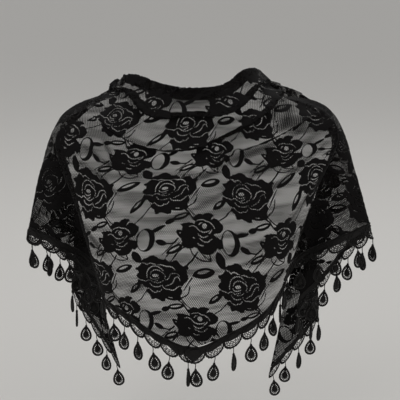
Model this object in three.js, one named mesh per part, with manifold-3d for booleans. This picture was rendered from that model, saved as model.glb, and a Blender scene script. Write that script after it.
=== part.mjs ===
// A lace triangle scarf, worn with its point at the front: a cowl at the neck,
// a flared wing below each shoulder and two tails that hang down the back.
// Millimetres, +Z up, the front faces -Y. The origin is between the sides of the neck.

import * as THREE from 'three';
import { mergeVertices } from 'three/addons/utils/BufferGeometryUtils.js';
import Module from 'manifold-3d';

const wasm = await Module();
wasm.setup();

// Driving dimensions
const CLOTH_WALL = 1.2;
const EDGING_WALL = 1.6;
const DROP_WALL = 1;
const SEAM_GAP = 0.3;
const BAND_DEPTH = 11;
const SCALLOP_DEPTH = 13;
const SCALLOPS_PER_SIDE = 27;
const THREAD_LENGTH = 9;
const THREAD_WIDTH = 1.1;
const THREAD_ROOT = 1.2;
const DROP_WIDTH = 18;
const DROP_HEIGHT = 25;

// Folds of the cowl: how far apart its layers stand, the length over which a layer moves
// out to its lip, how round a lip is, and the depth of tuck that stands fully apart
const FOLD_STEP = 5;
const FOLD_LEAD = 18;
const FOLD_ROUNDING = 3.5;
const FULL_TUCK = 6;
const TURN_LEAD = 4;

// How far the cloth leans outward over the height that it stands at the neck
const STAND_LEAN = 0.35;

// Grid of the cloth: columns across the drape, rows from the neck edge to the hem
const COLUMNS = 54;
const PLAIN_ROWS = 7;
const ROW_BELOW_TURN = 10;
const COWL_REACH = 140;
const COWL_FADE = 45;

// The neck edge: how far along it from the front centre, where that point lies,
// and how far the cloth stands up there before it spreads over the shoulder
const NECK_EDGE = [
  { along: -183, x: -120, y: 44, z: -24, stand: 0 },
  { along: -150, x: -108, y: 14, z: -2, stand: 4 },
  { along: -130, x: -105, y: -6, z: 4, stand: 11 },
  { along: -100, x: -85, y: -30, z: 7, stand: 11 },
  { along: -60, x: -54, y: -60, z: 0, stand: 8 },
  { along: 0, x: -14, y: -76, z: -4, stand: 6 },
  { along: 60, x: 32, y: -67, z: 0, stand: 6 },
  { along: 100, x: 62, y: -34, z: 11, stand: 7 },
  { along: 130, x: 78, y: 0, z: 11, stand: 5 },
  { along: 150, x: 84, y: 18, z: 0, stand: 2 },
  { along: 183, x: 99, y: 44, z: -22, stand: 0 },
];

// One row for each rib of the drape, from the left tail round the front to the right tail:
// where it starts along the neck edge, and its points at shoulder, wing and hem height
const RIBS = [
  { at: 'left tail edge', along: -183, mid: [-186, 46, -84], low: [-170, 98, -262], hem: [-126, 98, -447] },
  { at: 'left tail pleat', along: -176, mid: [-188, 42, -72], low: [-184, 86, -195], hem: [-192, 103, -318] },
  { at: 'left tail valley', along: -168, mid: [-190, 38, -70], low: [-184, 52, -180], hem: [-148, 42, -302] },
  { at: 'left back', along: -160, mid: [-193, 32, -70], low: [-196, 52, -165], hem: [-190, 53, -268] },
  { at: 'left wing back', along: -152, mid: [-198, 20, -68], low: [-214, 34, -145], hem: [-217, 38, -238] },
  { at: 'left wing edge', along: -144, mid: [-199, 6, -68], low: [-225, 8, -136], hem: [-243, 4, -216] },
  { at: 'left wing front', along: -134, mid: [-196, -8, -70], low: [-206, -8, -140], hem: [-207, -12, -228] },
  { at: 'left valley', along: -120, mid: [-191, -20, -72], low: [-178, -12, -150], hem: [-160, 2, -258] },
  { at: 'left crease', along: -104, mid: [-186, -36, -84], low: [-160, -60, -185], hem: [-131, -66, -300] },
  { at: 'left breast', along: -72, mid: [-122, -76, -78], low: [-108, -104, -190], hem: [-98, -100, -312] },
  { at: 'left of centre', along: -36, mid: [-66, -100, -90], low: [-60, -128, -205], hem: [-56, -124, -333] },
  { at: 'front centre', along: 0, mid: [-14, -110, -96], low: [-14, -136, -215], hem: [-12, -134, -347] },
  { at: 'right of centre', along: 36, mid: [38, -100, -90], low: [34, -129, -205], hem: [40, -124, -331] },
  { at: 'right breast', along: 72, mid: [100, -76, -72], low: [88, -104, -190], hem: [88, -100, -308] },
  { at: 'right crease', along: 102, mid: [176, -34, -76], low: [144, -58, -170], hem: [114, -68, -282] },
  { at: 'right valley', along: 118, mid: [186, -18, -68], low: [166, -12, -150], hem: [140, 2, -258] },
  { at: 'right wing front', along: 130, mid: [190, -6, -67], low: [202, -8, -140], hem: [206, -12, -222] },
  { at: 'right wing edge', along: 141, mid: [193, 8, -66], low: [219, 8, -138], hem: [241, 8, -212] },
  { at: 'right wing back', along: 150, mid: [193, 26, -66], low: [210, 36, -150], hem: [213, 41, -252] },
  { at: 'right back', along: 158, mid: [188, 36, -68], low: [186, 52, -180], hem: [178, 54, -303] },
  { at: 'right tail valley', along: 166, mid: [185, 40, -66], low: [168, 54, -195], hem: [146, 44, -334] },
  { at: 'right tail pleat', along: 174, mid: [183, 44, -68], low: [172, 88, -205], hem: [180, 105, -366] },
  { at: 'right tail edge', along: 183, mid: [180, 48, -80], low: [145, 100, -272], hem: [108, 98, -463] },
];

// The cowl: how deep the neck edge is turned in, and for each fold how far its lip lies
// below the neck and how high the cloth is tucked up behind the lip
const COWL = [
  { along: -183, turned: 0, lip1: 30, tuck1: 0, lip2: 70, tuck2: 0, lip3: 110, tuck3: 0 },
  { along: -135, turned: 9, lip1: 34, tuck1: 5, lip2: 74, tuck2: 0, lip3: 118, tuck3: 0 },
  { along: -92, turned: 15, lip1: 44, tuck1: 10, lip2: 85, tuck2: 2, lip3: 130, tuck3: 0 },
  { along: -50, turned: 15, lip1: 51, tuck1: 11, lip2: 93, tuck2: 5, lip3: 134, tuck3: 1 },
  { along: 0, turned: 15, lip1: 43, tuck1: 11, lip2: 88, tuck2: 6, lip3: 121, tuck3: 3 },
  { along: 45, turned: 15, lip1: 44, tuck1: 11, lip2: 71, tuck2: 9, lip3: 97, tuck3: 5 },
  { along: 90, turned: 15, lip1: 38, tuck1: 10, lip2: 64, tuck2: 11, lip3: 108, tuck3: 5 },
  { along: 125, turned: 9, lip1: 28, tuck1: 5, lip2: 54, tuck2: 4, lip3: 112, tuck3: 1 },
  { along: 183, turned: 0, lip1: 26, tuck1: 0, lip2: 60, tuck2: 0, lip3: 110, tuck3: 0 },
];
const FOLD_COUNT = 3;

// Smooth curve through values at uneven knots
function through(knots, values, at) {
  const last = knots.length - 1;
  const x = Math.min(Math.max(at, knots[0]), knots[last]);
  let i = 0;
  while (i < last - 1 && x > knots[i + 1]) i += 1;
  const rise = (j) => (values[j + 1] - values[j]) / (knots[j + 1] - knots[j]);
  const slope = (j) => {
    if (j === 0) return rise(0);
    if (j === last) return rise(last - 1);
    const before = knots[j] - knots[j - 1];
    const after = knots[j + 1] - knots[j];
    return (after * rise(j - 1) + before * rise(j)) / (before + after);
  };
  const step = knots[i + 1] - knots[i];
  const t = (x - knots[i]) / step;
  const start = (2 * t ** 3 - 3 * t ** 2 + 1) * values[i] + (t ** 3 - 2 * t ** 2 + t) * step * slope(i);
  const end = (3 * t ** 2 - 2 * t ** 3) * values[i + 1] + (t ** 3 - t ** 2) * step * slope(i + 1);
  return start + end;
}

const column = (table, key) => table.map((row) => row[key]);
const neckAlong = column(NECK_EDGE, 'along');
const cowlAlong = column(COWL, 'along');
const fromNeck = (key, along) => through(neckAlong, column(NECK_EDGE, key), along);
const fromCowl = (key, along) => Math.max(0, through(cowlAlong, column(COWL, key), along));

function smoothPoint(knots, points, at) {
  const coordinate = (axis) => through(knots, points.map((p) => p[axis]), at);
  return new THREE.Vector3(coordinate(0), coordinate(1), coordinate(2));
}

// Distance along a chain of points, from 0
function distances(points) {
  const sums = [0];
  for (let i = 1; i < points.length; i += 1) {
    sums.push(sums[i - 1] + Math.hypot(...points[i].map((value, axis) => value - points[i - 1][axis])));
  }
  return sums;
}

const hemPoints = column(RIBS, 'hem');
const hemKnots = distances(hemPoints);
const hemLength = hemKnots[hemKnots.length - 1];

// The curve of the drape at one place across it, before the cowl is folded
function ribAt(across) {
  const along = through(hemKnots, column(RIBS, 'along'), across);
  const edge = ['x', 'y', 'z'].map((axis) => fromNeck(axis, along));
  const stand = fromNeck('stand', along);
  const mid = smoothPoint(hemKnots, column(RIBS, 'mid'), across).toArray();
  const low = smoothPoint(hemKnots, column(RIBS, 'low'), across).toArray();
  const hem = smoothPoint(hemKnots, hemPoints, across).toArray();
  const reach = Math.hypot(mid[0] - edge[0], mid[1] - edge[1]);
  const foot = [
    edge[0] + (STAND_LEAN * stand * (mid[0] - edge[0])) / reach,
    edge[1] + (STAND_LEAN * stand * (mid[1] - edge[1])) / reach,
    edge[2] - stand,
  ];
  const points = stand > 1 ? [edge, foot, mid, low, hem] : [edge, mid, low, hem];
  const knots = distances(points);
  return { along, points, knots, length: knots[knots.length - 1] };
}

const onRib = (rib, depth) => smoothPoint(rib.knots, rib.points, depth);

// Where the cloth lies after a given length of it has been laid from its free edge:
// depth below the neck, and how far it stands off the drape
function laid(folds, turned, cloth) {
  let depth = Math.abs(cloth - turned);
  let off = cloth < turned ? -FOLD_STEP * Math.min(1, (turned - cloth) / TURN_LEAD) : 0;
  for (const { start, tuck } of folds) {
    const step = FOLD_STEP * Math.min(1, tuck / FULL_TUCK);
    const past = cloth - start;
    const after = past - 2 * tuck;
    depth -= 2 * Math.min(Math.max(past, 0), tuck);
    if (past > -FOLD_LEAD && past <= 0) off += step * (1 + past / FOLD_LEAD);
    if (past > 0 && after <= 0) off += step * (1 - past / tuck);
    if (after > 0 && after < FOLD_LEAD) off -= step * (1 - after / FOLD_LEAD);
  }
  return [depth, off];
}

function foldsOf(rib) {
  const turned = fromCowl('turned', rib.along);
  const folds = [];
  let used = turned;
  for (let n = 1; n <= FOLD_COUNT; n += 1) {
    const tuck = fromCowl(`tuck${n}`, rib.along);
    folds.push({ start: used + fromCowl(`lip${n}`, rib.along), tuck });
    used += 2 * tuck;
  }
  return { turned, folds, clothLength: rib.length + used };
}

// Rows of the grid: bunched on the lips of the cowl at the front, even elsewhere
function rowsOf({ turned, folds, clothLength }, along) {
  const rows = [0, turned, turned + ROW_BELOW_TURN];
  for (const { start, tuck } of folds) rows.push(start, start + tuck, start + 2 * tuck);
  const last = rows[rows.length - 1];
  for (let n = 1; n <= PLAIN_ROWS; n += 1) rows.push(last + ((clothLength - last) * n) / PLAIN_ROWS);
  const frontness = THREE.MathUtils.smoothstep(COWL_REACH - Math.abs(along), 0, COWL_FADE);
  return rows.map((row, i) => THREE.MathUtils.lerp((clothLength * i) / (rows.length - 1), row, frontness));
}

// One column of points down the cloth
function clothColumn(across) {
  const rib = ribAt(across);
  const fold = foldsOf(rib);
  const toFront = across < hemLength / 2 ? 1 : -1;
  const neighbour = ribAt(across + toFront);
  return rowsOf(fold, rib.along).map((cloth) => {
    const samples = [-1, -0.5, 0, 0.5, 1].map((shift) => {
      const place = THREE.MathUtils.clamp(cloth + shift * FOLD_ROUNDING, 0, fold.clothLength);
      return laid(fold.folds, fold.turned, place);
    });
    const depth = samples.reduce((sum, [d]) => sum + d, 0) / samples.length;
    const off = samples.reduce((sum, [, o]) => sum + o, 0) / samples.length;
    const point = onRib(rib, depth);
    const down = onRib(rib, depth + 1).sub(onRib(rib, depth - 1));
    const side = onRib(neighbour, depth).sub(point).multiplyScalar(toFront);
    const out = down.cross(side).normalize();
    return point.addScaledVector(out, off);
  });
}

// A wall of even thickness around a grid of points, open where a cell is left out
function wallFromGrid(grid, thickness, keep = () => true) {
  const columns = grid.length;
  const rows = grid[0].length;
  const at = (i, j) => grid[Math.min(Math.max(i, 0), columns - 1)][Math.min(Math.max(j, 0), rows - 1)];
  const positions = [];
  for (const side of [1, -1]) {
    for (let i = 0; i < columns; i += 1) {
      for (let j = 0; j < rows; j += 1) {
        const across = at(i + 1, j).clone().sub(at(i - 1, j));
        const down = at(i, j + 1).clone().sub(at(i, j - 1));
        const normal = across.cross(down).normalize();
        positions.push(...grid[i][j].clone().addScaledVector(normal, (-side * thickness) / 2).toArray());
      }
    }
  }
  const id = (side, i, j) => side * columns * rows + i * rows + j;
  const kept = (i, j) => i >= 0 && j >= 0 && i < columns - 1 && j < rows - 1 && keep(i, j);
  const index = [];
  const quad = (a, b, c, d) => index.push(a, b, c, a, c, d);
  for (let i = 0; i < columns - 1; i += 1) {
    for (let j = 0; j < rows - 1; j += 1) {
      if (!kept(i, j)) continue;
      quad(id(0, i, j), id(0, i, j + 1), id(0, i + 1, j + 1), id(0, i + 1, j));
      quad(id(1, i, j), id(1, i + 1, j), id(1, i + 1, j + 1), id(1, i, j + 1));
      if (!kept(i, j - 1)) quad(id(0, i, j), id(0, i + 1, j), id(1, i + 1, j), id(1, i, j));
      if (!kept(i, j + 1)) quad(id(0, i + 1, j + 1), id(0, i, j + 1), id(1, i, j + 1), id(1, i + 1, j + 1));
      if (!kept(i - 1, j)) quad(id(0, i, j + 1), id(0, i, j), id(1, i, j), id(1, i, j + 1));
      if (!kept(i + 1, j)) quad(id(0, i + 1, j), id(0, i + 1, j + 1), id(1, i + 1, j + 1), id(1, i + 1, j));
    }
  }
  const geometry = new THREE.BufferGeometry();
  geometry.setAttribute('position', new THREE.Float32BufferAttribute(positions, 3));
  geometry.setIndex(index);
  return geometry;
}

function solidFrom(geometry) {
  const plain = geometry.clone();
  plain.deleteAttribute('normal');
  plain.deleteAttribute('uv');
  const merged = mergeVertices(plain, 1e-4);
  return new wasm.Manifold(new wasm.Mesh({
    numProp: 3,
    vertProperties: new Float32Array(merged.attributes.position.array),
    triVerts: new Uint32Array(merged.index.array),
  }));
}

function geometryFrom(solid) {
  const { vertProperties, triVerts, numProp } = solid.getMesh();
  const geometry = new THREE.BufferGeometry();
  const positions = new Float32Array((vertProperties.length / numProp) * 3);
  for (let i = 0; i < positions.length / 3; i += 1) {
    positions.set(vertProperties.slice(i * numProp, i * numProp + 3), i * 3);
  }
  geometry.setAttribute('position', new THREE.BufferAttribute(positions, 3));
  geometry.setIndex(new THREE.BufferAttribute(new Uint32Array(triVerts), 1));
  geometry.computeVertexNormals();
  return geometry;
}

// The lace cloth
const clothGrid = [];
for (let i = 0; i <= COLUMNS; i += 1) clothGrid.push(clothColumn((hemLength * i) / COLUMNS));

// The hem as the cloth's own straight steps: each point and the direction down from it
const lastStep = (points) => points[points.length - 1].clone().sub(points[points.length - 2]).normalize();
const hemRow = clothGrid.map((points, i) => {
  const beside = [clothGrid[Math.max(i - 1, 0)], points, clothGrid[Math.min(i + 1, COLUMNS)]];
  const down = new THREE.Vector3();
  for (const chain of beside) down.add(lastStep(chain));
  return { hem: points[points.length - 1], down: down.normalize() };
});
const hemSteps = distances(hemRow.map(({ hem }) => hem.toArray()));

function hemAt(distance) {
  let i = 0;
  while (i < hemSteps.length - 2 && distance > hemSteps[i + 1]) i += 1;
  const t = THREE.MathUtils.clamp((distance - hemSteps[i]) / (hemSteps[i + 1] - hemSteps[i]), 0, 1);
  return {
    hem: hemRow[i].hem.clone().lerp(hemRow[i + 1].hem, t),
    down: hemRow[i].down.clone().lerp(hemRow[i + 1].down, t).normalize(),
    across: hemRow[i + 1].hem.clone().sub(hemRow[i].hem).normalize(),
  };
}

// Where across one scallop its columns stand, how full its outline is there,
// and how far the opening reaches down from the band
const SCALLOP = [
  { at: 0, full: 0.12, open: 0.04 },
  { at: 0.2, full: 0.82, open: 0.42 },
  { at: 0.5, full: 1, open: 0.68 },
  { at: 0.8, full: 0.82, open: 0.42 },
];

function edgingStrip(start, end) {
  const pitch = (end - start) / SCALLOPS_PER_SIDE;
  const columns = [];
  for (let n = 0; n < SCALLOPS_PER_SIDE; n += 1) {
    for (const { at, full, open } of SCALLOP) {
      columns.push({ distance: start + pitch * (n + at), full, open });
    }
  }
  columns.push({ distance: end, full: SCALLOP[0].full, open: SCALLOP[0].open });
  const grid = columns.map(({ distance, full, open }) => {
    const { hem, down } = hemAt(distance);
    const opening = BAND_DEPTH + SCALLOP_DEPTH * open;
    const depths = [SEAM_GAP, BAND_DEPTH, opening, BAND_DEPTH + SCALLOP_DEPTH * full];
    return depths.map((depth) => hem.clone().addScaledVector(down, depth));
  });
  const open = (i, j) => j === 1 && i % SCALLOP.length >= 1 && i % SCALLOP.length <= SCALLOP.length - 2;
  return solidFrom(wallFromGrid(grid, EDGING_WALL, (i, j) => !open(i, j)));
}

// One drop: a flat teardrop on a short thread that hangs straight down, as one outline
const DROP_SIDES = 6;
const DROP_SWELL = 0.8;
const dropOutline = new THREE.Shape();
dropOutline.moveTo(-THREAD_WIDTH / 2, THREAD_ROOT);
dropOutline.lineTo(-THREAD_WIDTH / 2, -THREAD_LENGTH);
for (let n = 1; n < DROP_SIDES; n += 1) {
  const turn = (Math.PI * 2 * n) / DROP_SIDES;
  const swell = Math.sin(turn / 2) ** DROP_SWELL;
  const x = (-Math.sin(turn) * swell * DROP_WIDTH) / 2;
  const z = -THREAD_LENGTH - (DROP_HEIGHT * (1 - Math.cos(turn))) / 2;
  dropOutline.lineTo(x, z);
}
dropOutline.lineTo(THREAD_WIDTH / 2, -THREAD_LENGTH);
dropOutline.lineTo(THREAD_WIDTH / 2, THREAD_ROOT);
dropOutline.closePath();
const dropGeometry = new THREE.ExtrudeGeometry(dropOutline, { depth: DROP_WALL, bevelEnabled: false });
dropGeometry.translate(0, 0, -DROP_WALL / 2);
dropGeometry.rotateX(Math.PI / 2);
const dropSolid = solidFrom(dropGeometry);

// How far each drop is turned about its thread, in turns that repeat along the edge
const DROP_TWISTS = [0.1, -0.35, 0.25, -0.05, 0.5, -0.2, 0.4];

function hangingDrop(distance, number) {
  const { hem, down, across } = hemAt(distance);
  const top = hem.addScaledVector(down, BAND_DEPTH + SCALLOP_DEPTH);
  const facing = Math.atan2(across.y, across.x) + DROP_TWISTS[number % DROP_TWISTS.length];
  const place = new THREE.Matrix4().makeTranslation(top.x, top.y, top.z);
  place.multiply(new THREE.Matrix4().makeRotationZ(facing));
  return dropSolid.transform(place.toArray());
}

// Room around the cloth and below its hem that the edging keeps out of, in two
// thicknesses so that the tight valleys of the hem are cleared too
const HEM_ROOM = SEAM_GAP - 0.05;
const roomGrid = clothGrid.map((points, i) => {
  const { hem, down } = hemRow[i];
  return [...points.slice(0, -1), hem.clone().addScaledVector(down, HEM_ROOM)];
});
const clothRoom = [2, 0].map((gaps) => solidFrom(wallFromGrid(roomGrid, CLOTH_WALL + gaps * SEAM_GAP)));

function edging(start, end) {
  const pitch = (end - start) / SCALLOPS_PER_SIDE;
  let solid = edgingStrip(start, end);
  for (let n = 0; n < SCALLOPS_PER_SIDE; n += 1) solid = solid.add(hangingDrop(start + pitch * (n + 0.5), n));
  for (const room of clothRoom) solid = solid.subtract(room);
  const pieces = solid.decompose();
  pieces.sort((a, b) => b.volume() - a.volume());
  return geometryFrom(pieces[0]);
}

const blackLace = new THREE.MeshStandardMaterial({ color: 0x121112, roughness: 0.85, metalness: 0 });
const blackCord = new THREE.MeshStandardMaterial({ color: 0x0d0d0e, roughness: 0.75, metalness: 0 });

function named(name, geometry, material) {
  const mesh = new THREE.Mesh(geometry, material);
  mesh.name = name;
  return mesh;
}

// The two strips of edging meet at the point of the triangle, at the front centre
const frontRib = RIBS.findIndex(({ along }) => along === 0);
const frontCentre = hemSteps[Math.round((COLUMNS * hemKnots[frontRib]) / hemLength)];
const hemEnd = hemSteps[hemSteps.length - 1];

const scarf = new THREE.Group();
scarf.add(named('lace_body', geometryFrom(solidFrom(wallFromGrid(clothGrid, CLOTH_WALL))), blackLace));
scarf.add(named('edging_left', edging(0, frontCentre - SEAM_GAP), blackCord));
scarf.add(named('edging_right', edging(frontCentre + SEAM_GAP, hemEnd), blackCord));

export default scarf;
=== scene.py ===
# %% [markdown]
# # A lace triangle scarf, draped as a cowl
#
# The real thing is one flat triangle of black warp-knitted rose lace, trimmed on its two
# short sides with a corded scallop edging from which small teardrops hang on threads.
# It is worn with the long side at the neck and the point at the front.
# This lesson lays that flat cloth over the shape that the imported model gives, so that
# roses, net and folds all lie where real cloth would carry them.

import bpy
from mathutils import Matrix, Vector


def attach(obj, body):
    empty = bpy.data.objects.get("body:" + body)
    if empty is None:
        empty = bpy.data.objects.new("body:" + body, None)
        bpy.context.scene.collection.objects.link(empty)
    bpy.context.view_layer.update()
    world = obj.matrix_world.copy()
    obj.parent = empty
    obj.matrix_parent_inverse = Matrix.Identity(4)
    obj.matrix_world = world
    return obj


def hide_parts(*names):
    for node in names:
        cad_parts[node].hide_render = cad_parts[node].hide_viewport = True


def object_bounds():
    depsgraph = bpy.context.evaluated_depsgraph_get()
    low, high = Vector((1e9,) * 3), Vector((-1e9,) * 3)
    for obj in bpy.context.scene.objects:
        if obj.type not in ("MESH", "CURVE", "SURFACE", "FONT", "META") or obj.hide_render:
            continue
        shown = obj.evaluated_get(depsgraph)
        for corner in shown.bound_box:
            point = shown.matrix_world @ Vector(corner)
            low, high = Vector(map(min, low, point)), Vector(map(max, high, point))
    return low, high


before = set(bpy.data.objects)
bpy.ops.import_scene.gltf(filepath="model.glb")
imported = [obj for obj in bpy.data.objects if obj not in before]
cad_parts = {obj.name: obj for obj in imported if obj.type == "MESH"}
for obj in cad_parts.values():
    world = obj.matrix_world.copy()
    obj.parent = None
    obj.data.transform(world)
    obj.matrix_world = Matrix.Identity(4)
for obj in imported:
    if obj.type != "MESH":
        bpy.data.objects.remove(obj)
cad_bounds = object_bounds()
print("CAD box in metres:", cad_bounds)

# %% Tools for the lesson
import math

import bpy
import numpy as np
from mathutils import Vector
from mathutils.bvhtree import BVHTree
from mathutils.geometry import delaunay_2d_cdt

MM = 0.001

# %% [markdown]
# ## The camera
#
# The picture is taken from a little above the shoulders, with a long lens from far off, so
# that near and far folds keep their true widths. A camera could be placed by eye. Here it is
# worked out from its distance, its height above the cloth and the size of the picture at the
# middle of the scarf, so that every later measure can be checked against it.

# %% Camera
CAMERA_DISTANCE = 1.8
CAMERA_ABOVE = math.radians(13)
AIM_HEIGHT = -0.176
PICTURE_WIDTH_AT_AIM = 0.564
SENSOR_WIDTH = 36

camera_data = bpy.data.cameras.new("camera")
camera_data.sensor_width = SENSOR_WIDTH
camera_data.lens = SENSOR_WIDTH * CAMERA_DISTANCE / PICTURE_WIDTH_AT_AIM
camera = bpy.data.objects.new("camera", camera_data)
camera.location = (
    0,
    -CAMERA_DISTANCE * math.cos(CAMERA_ABOVE),
    AIM_HEIGHT + CAMERA_DISTANCE * math.sin(CAMERA_ABOVE),
)
camera.rotation_euler = (math.pi / 2 - CAMERA_ABOVE, 0, 0)
bpy.context.scene.collection.objects.link(camera)
bpy.context.scene.camera = camera
print("lens", round(camera_data.lens, 1), "mm")

# %% [markdown]
# ## The shape of the drape
#
# Worn cloth hangs in ribs: from each place on the neck edge it runs over the shoulder and
# down to the hem. Cloth simulation could find such ribs, but it would never fall into the
# same folds as one real scarf on one day. So the neck edge and the ribs are written down as
# short tables in millimetres, and smooth curves run through them.
#
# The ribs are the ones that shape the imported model, so the cloth lies on it. The neck edge
# is too, except that it stands 4 mm higher on the right, at 100 mm along.

# %% The neck edge: its places, and how far the collar stands up from each
NECK_EDGE = [
    dict(along=-183, x=-120, y=44, z=-24, stand=0),
    dict(along=-150, x=-108, y=14, z=-2, stand=4),
    dict(along=-130, x=-105, y=-6, z=4, stand=11),
    dict(along=-100, x=-85, y=-30, z=7, stand=11),
    dict(along=-60, x=-54, y=-60, z=0, stand=8),
    dict(along=0, x=-14, y=-76, z=-4, stand=6),
    dict(along=60, x=32, y=-67, z=0, stand=6),
    dict(along=100, x=62, y=-34, z=15, stand=7),
    dict(along=130, x=78, y=0, z=11, stand=5),
    dict(along=150, x=84, y=18, z=0, stand=2),
    dict(along=183, x=99, y=44, z=-22, stand=0),
]

# %% The ribs: points at shoulder, wing and hem height, from the left tail to the right one
RIBS = [
    dict(at="left tail edge", along=-183, mid=(-186, 46, -84), low=(-170, 98, -262), hem=(-126, 98, -447)),
    dict(at="left tail pleat", along=-176, mid=(-188, 42, -72), low=(-184, 86, -195), hem=(-192, 103, -318)),
    dict(at="left tail valley", along=-168, mid=(-190, 38, -70), low=(-184, 52, -180), hem=(-148, 42, -302)),
    dict(at="left back", along=-160, mid=(-193, 32, -70), low=(-196, 52, -165), hem=(-190, 53, -268)),
    dict(at="left wing back", along=-152, mid=(-198, 20, -68), low=(-214, 34, -145), hem=(-217, 38, -238)),
    dict(at="left wing edge", along=-144, mid=(-199, 6, -68), low=(-225, 8, -136), hem=(-243, 4, -216)),
    dict(at="left wing front", along=-134, mid=(-196, -8, -70), low=(-206, -8, -140), hem=(-207, -12, -228)),
    dict(at="left valley", along=-120, mid=(-191, -20, -72), low=(-178, -12, -150), hem=(-160, 2, -258)),
    dict(at="left crease", along=-104, mid=(-186, -36, -84), low=(-160, -60, -185), hem=(-131, -66, -300)),
    dict(at="left breast", along=-72, mid=(-122, -76, -78), low=(-108, -104, -190), hem=(-98, -100, -312)),
    dict(at="left of centre", along=-36, mid=(-66, -100, -90), low=(-60, -128, -205), hem=(-56, -124, -333)),
    dict(at="front centre", along=0, mid=(-14, -110, -96), low=(-14, -136, -215), hem=(-12, -134, -347)),
    dict(at="right of centre", along=36, mid=(38, -100, -90), low=(34, -129, -205), hem=(40, -124, -331)),
    dict(at="right breast", along=72, mid=(100, -76, -72), low=(88, -104, -190), hem=(88, -100, -308)),
    dict(at="right crease", along=102, mid=(176, -34, -76), low=(144, -58, -170), hem=(114, -68, -282)),
    dict(at="right valley", along=118, mid=(186, -18, -68), low=(166, -12, -150), hem=(140, 2, -258)),
    dict(at="right wing front", along=130, mid=(190, -6, -67), low=(202, -8, -140), hem=(206, -12, -222)),
    dict(at="right wing edge", along=141, mid=(193, 8, -66), low=(219, 8, -138), hem=(241, 8, -212)),
    dict(at="right wing back", along=150, mid=(193, 26, -66), low=(210, 36, -150), hem=(213, 41, -252)),
    dict(at="right back", along=158, mid=(188, 36, -68), low=(186, 52, -180), hem=(178, 54, -303)),
    dict(at="right tail valley", along=166, mid=(185, 40, -66), low=(168, 54, -195), hem=(146, 44, -334)),
    dict(at="right tail pleat", along=174, mid=(183, 44, -68), low=(172, 88, -205), hem=(180, 105, -366)),
    dict(at="right tail edge", along=183, mid=(180, 48, -80), low=(145, 100, -272), hem=(108, 98, -463)),
]
print(len(RIBS), "ribs from", RIBS[0]["at"], "to", RIBS[-1]["at"])

# %% [markdown]
# ## The cowl
#
# The long side is rolled in over itself at the neck, and below it the cloth sags in three
# folds, each tucked up behind its own lip. Bumps could stand for the folds, but doubled net
# looks darker than single net, so the layers are really there.
#
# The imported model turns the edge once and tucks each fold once, a little less deep. Worn
# cloth is rolled and bunched, so here the edge is turned three times and the two upper
# folds are tucked twice.

# %% How deep the edge is turned in, and where each fold's lip lies and how high it is tucked
COWL = [
    dict(along=-183, turned=0, lips=(30, 70, 110), tucks=(0, 0, 0)),
    dict(along=-135, turned=9, lips=(29, 74, 118), tucks=(6, 0, 0)),
    dict(along=-92, turned=15, lips=(38, 85, 130), tucks=(16, 2, 0)),
    dict(along=-50, turned=15, lips=(51, 93, 134), tucks=(13, 5, 1)),
    dict(along=0, turned=15, lips=(43, 88, 121), tucks=(11, 6, 3)),
    dict(along=45, turned=15, lips=(44, 71, 97), tucks=(11, 9, 5)),
    dict(along=90, turned=15, lips=(38, 67, 108), tucks=(12, 11, 5)),
    dict(along=125, turned=9, lips=(28, 54, 112), tucks=(5, 4, 1)),
    dict(along=183, turned=0, lips=(26, 60, 110), tucks=(0, 0, 0)),
]
NECK_TURNS = 3
TUCKS_PER_FOLD = (2, 2, 1)
ROLL_DEEPER = 1.25
print("neck edge turned", NECK_TURNS, "times, folds tucked", TUCKS_PER_FOLD, "times")


# %% Smooth curves through a table
def column(table, key):
    return np.array([row[key] for row in table], float)


def through(knots, values, at):
    """Smooth curve through values at uneven knots, for many places at once."""
    at = np.clip(at, knots[0], knots[-1])
    i = np.clip(np.searchsorted(knots, at) - 1, 0, len(knots) - 2)
    gaps = np.diff(knots).reshape((-1,) + (1,) * (values.ndim - 1))
    rises = np.diff(values, axis=0) / gaps
    inner = (gaps[1:] * rises[:-1] + gaps[:-1] * rises[1:]) / (gaps[:-1] + gaps[1:])
    slopes = np.concatenate([rises[:1], inner, rises[-1:]])
    shape = np.shape(at) + (1,) * (values.ndim - 1)
    t = ((at - knots[i]) / np.diff(knots)[i]).reshape(shape)
    gap = gaps[i]
    start = (2 * t**3 - 3 * t**2 + 1) * values[i] + (t**3 - 2 * t**2 + t) * gap * slopes[i]
    end = (3 * t**2 - 2 * t**3) * values[i + 1] + (t**3 - t**2) * gap * slopes[i + 1]
    return start + end


def distances(points):
    """Distance along a chain of points, from 0."""
    steps = np.linalg.norm(np.diff(points, axis=0), axis=1)
    return np.concatenate([[0], np.cumsum(steps)])


hem_knots = distances(column(RIBS, "hem"))
hem_length = hem_knots[-1]
front_centre = next(k for k, rib in enumerate(RIBS) if rib["along"] == 0)
print("hem", round(hem_length), "mm round its ribs")

# %% [markdown]
# ## The bare drape
#
# First comes a surface with no tucks: a smooth curve down every rib, and smooth curves from
# rib to rib. It could be sculpted, but this one can be measured anywhere. `across` holds
# places along the hem, `depths` distances down from the neck, and `bare` a point for both.

# %% Each rib's points, at even places along the hem
ACROSS_STEPS = 540
STAND_LEAN = 0.35

across = np.linspace(0, hem_length, ACROSS_STEPS + 1)
along = through(hem_knots, column(RIBS, "along"), across)
neck_points = np.stack([column(NECK_EDGE, axis) for axis in "xyz"], axis=1)
edge = through(column(NECK_EDGE, "along"), neck_points, along)
stand = through(column(NECK_EDGE, "along"), column(NECK_EDGE, "stand"), along)
mid, low, hem = (through(hem_knots, column(RIBS, key), across) for key in ("mid", "low", "hem"))
outward = mid[:, :2] - edge[:, :2]
outward /= np.linalg.norm(outward, axis=1)[:, None]
foot = edge.copy()
foot[:, :2] += STAND_LEAN * stand[:, None] * outward
foot[:, 2] -= stand
print("collar stands up to", round(stand.max(), 1), "mm")

# %% A smooth curve down every rib
DEPTH_STEPS = 360
DEPTH_END = 560
LEAST_STAND = 1

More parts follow.
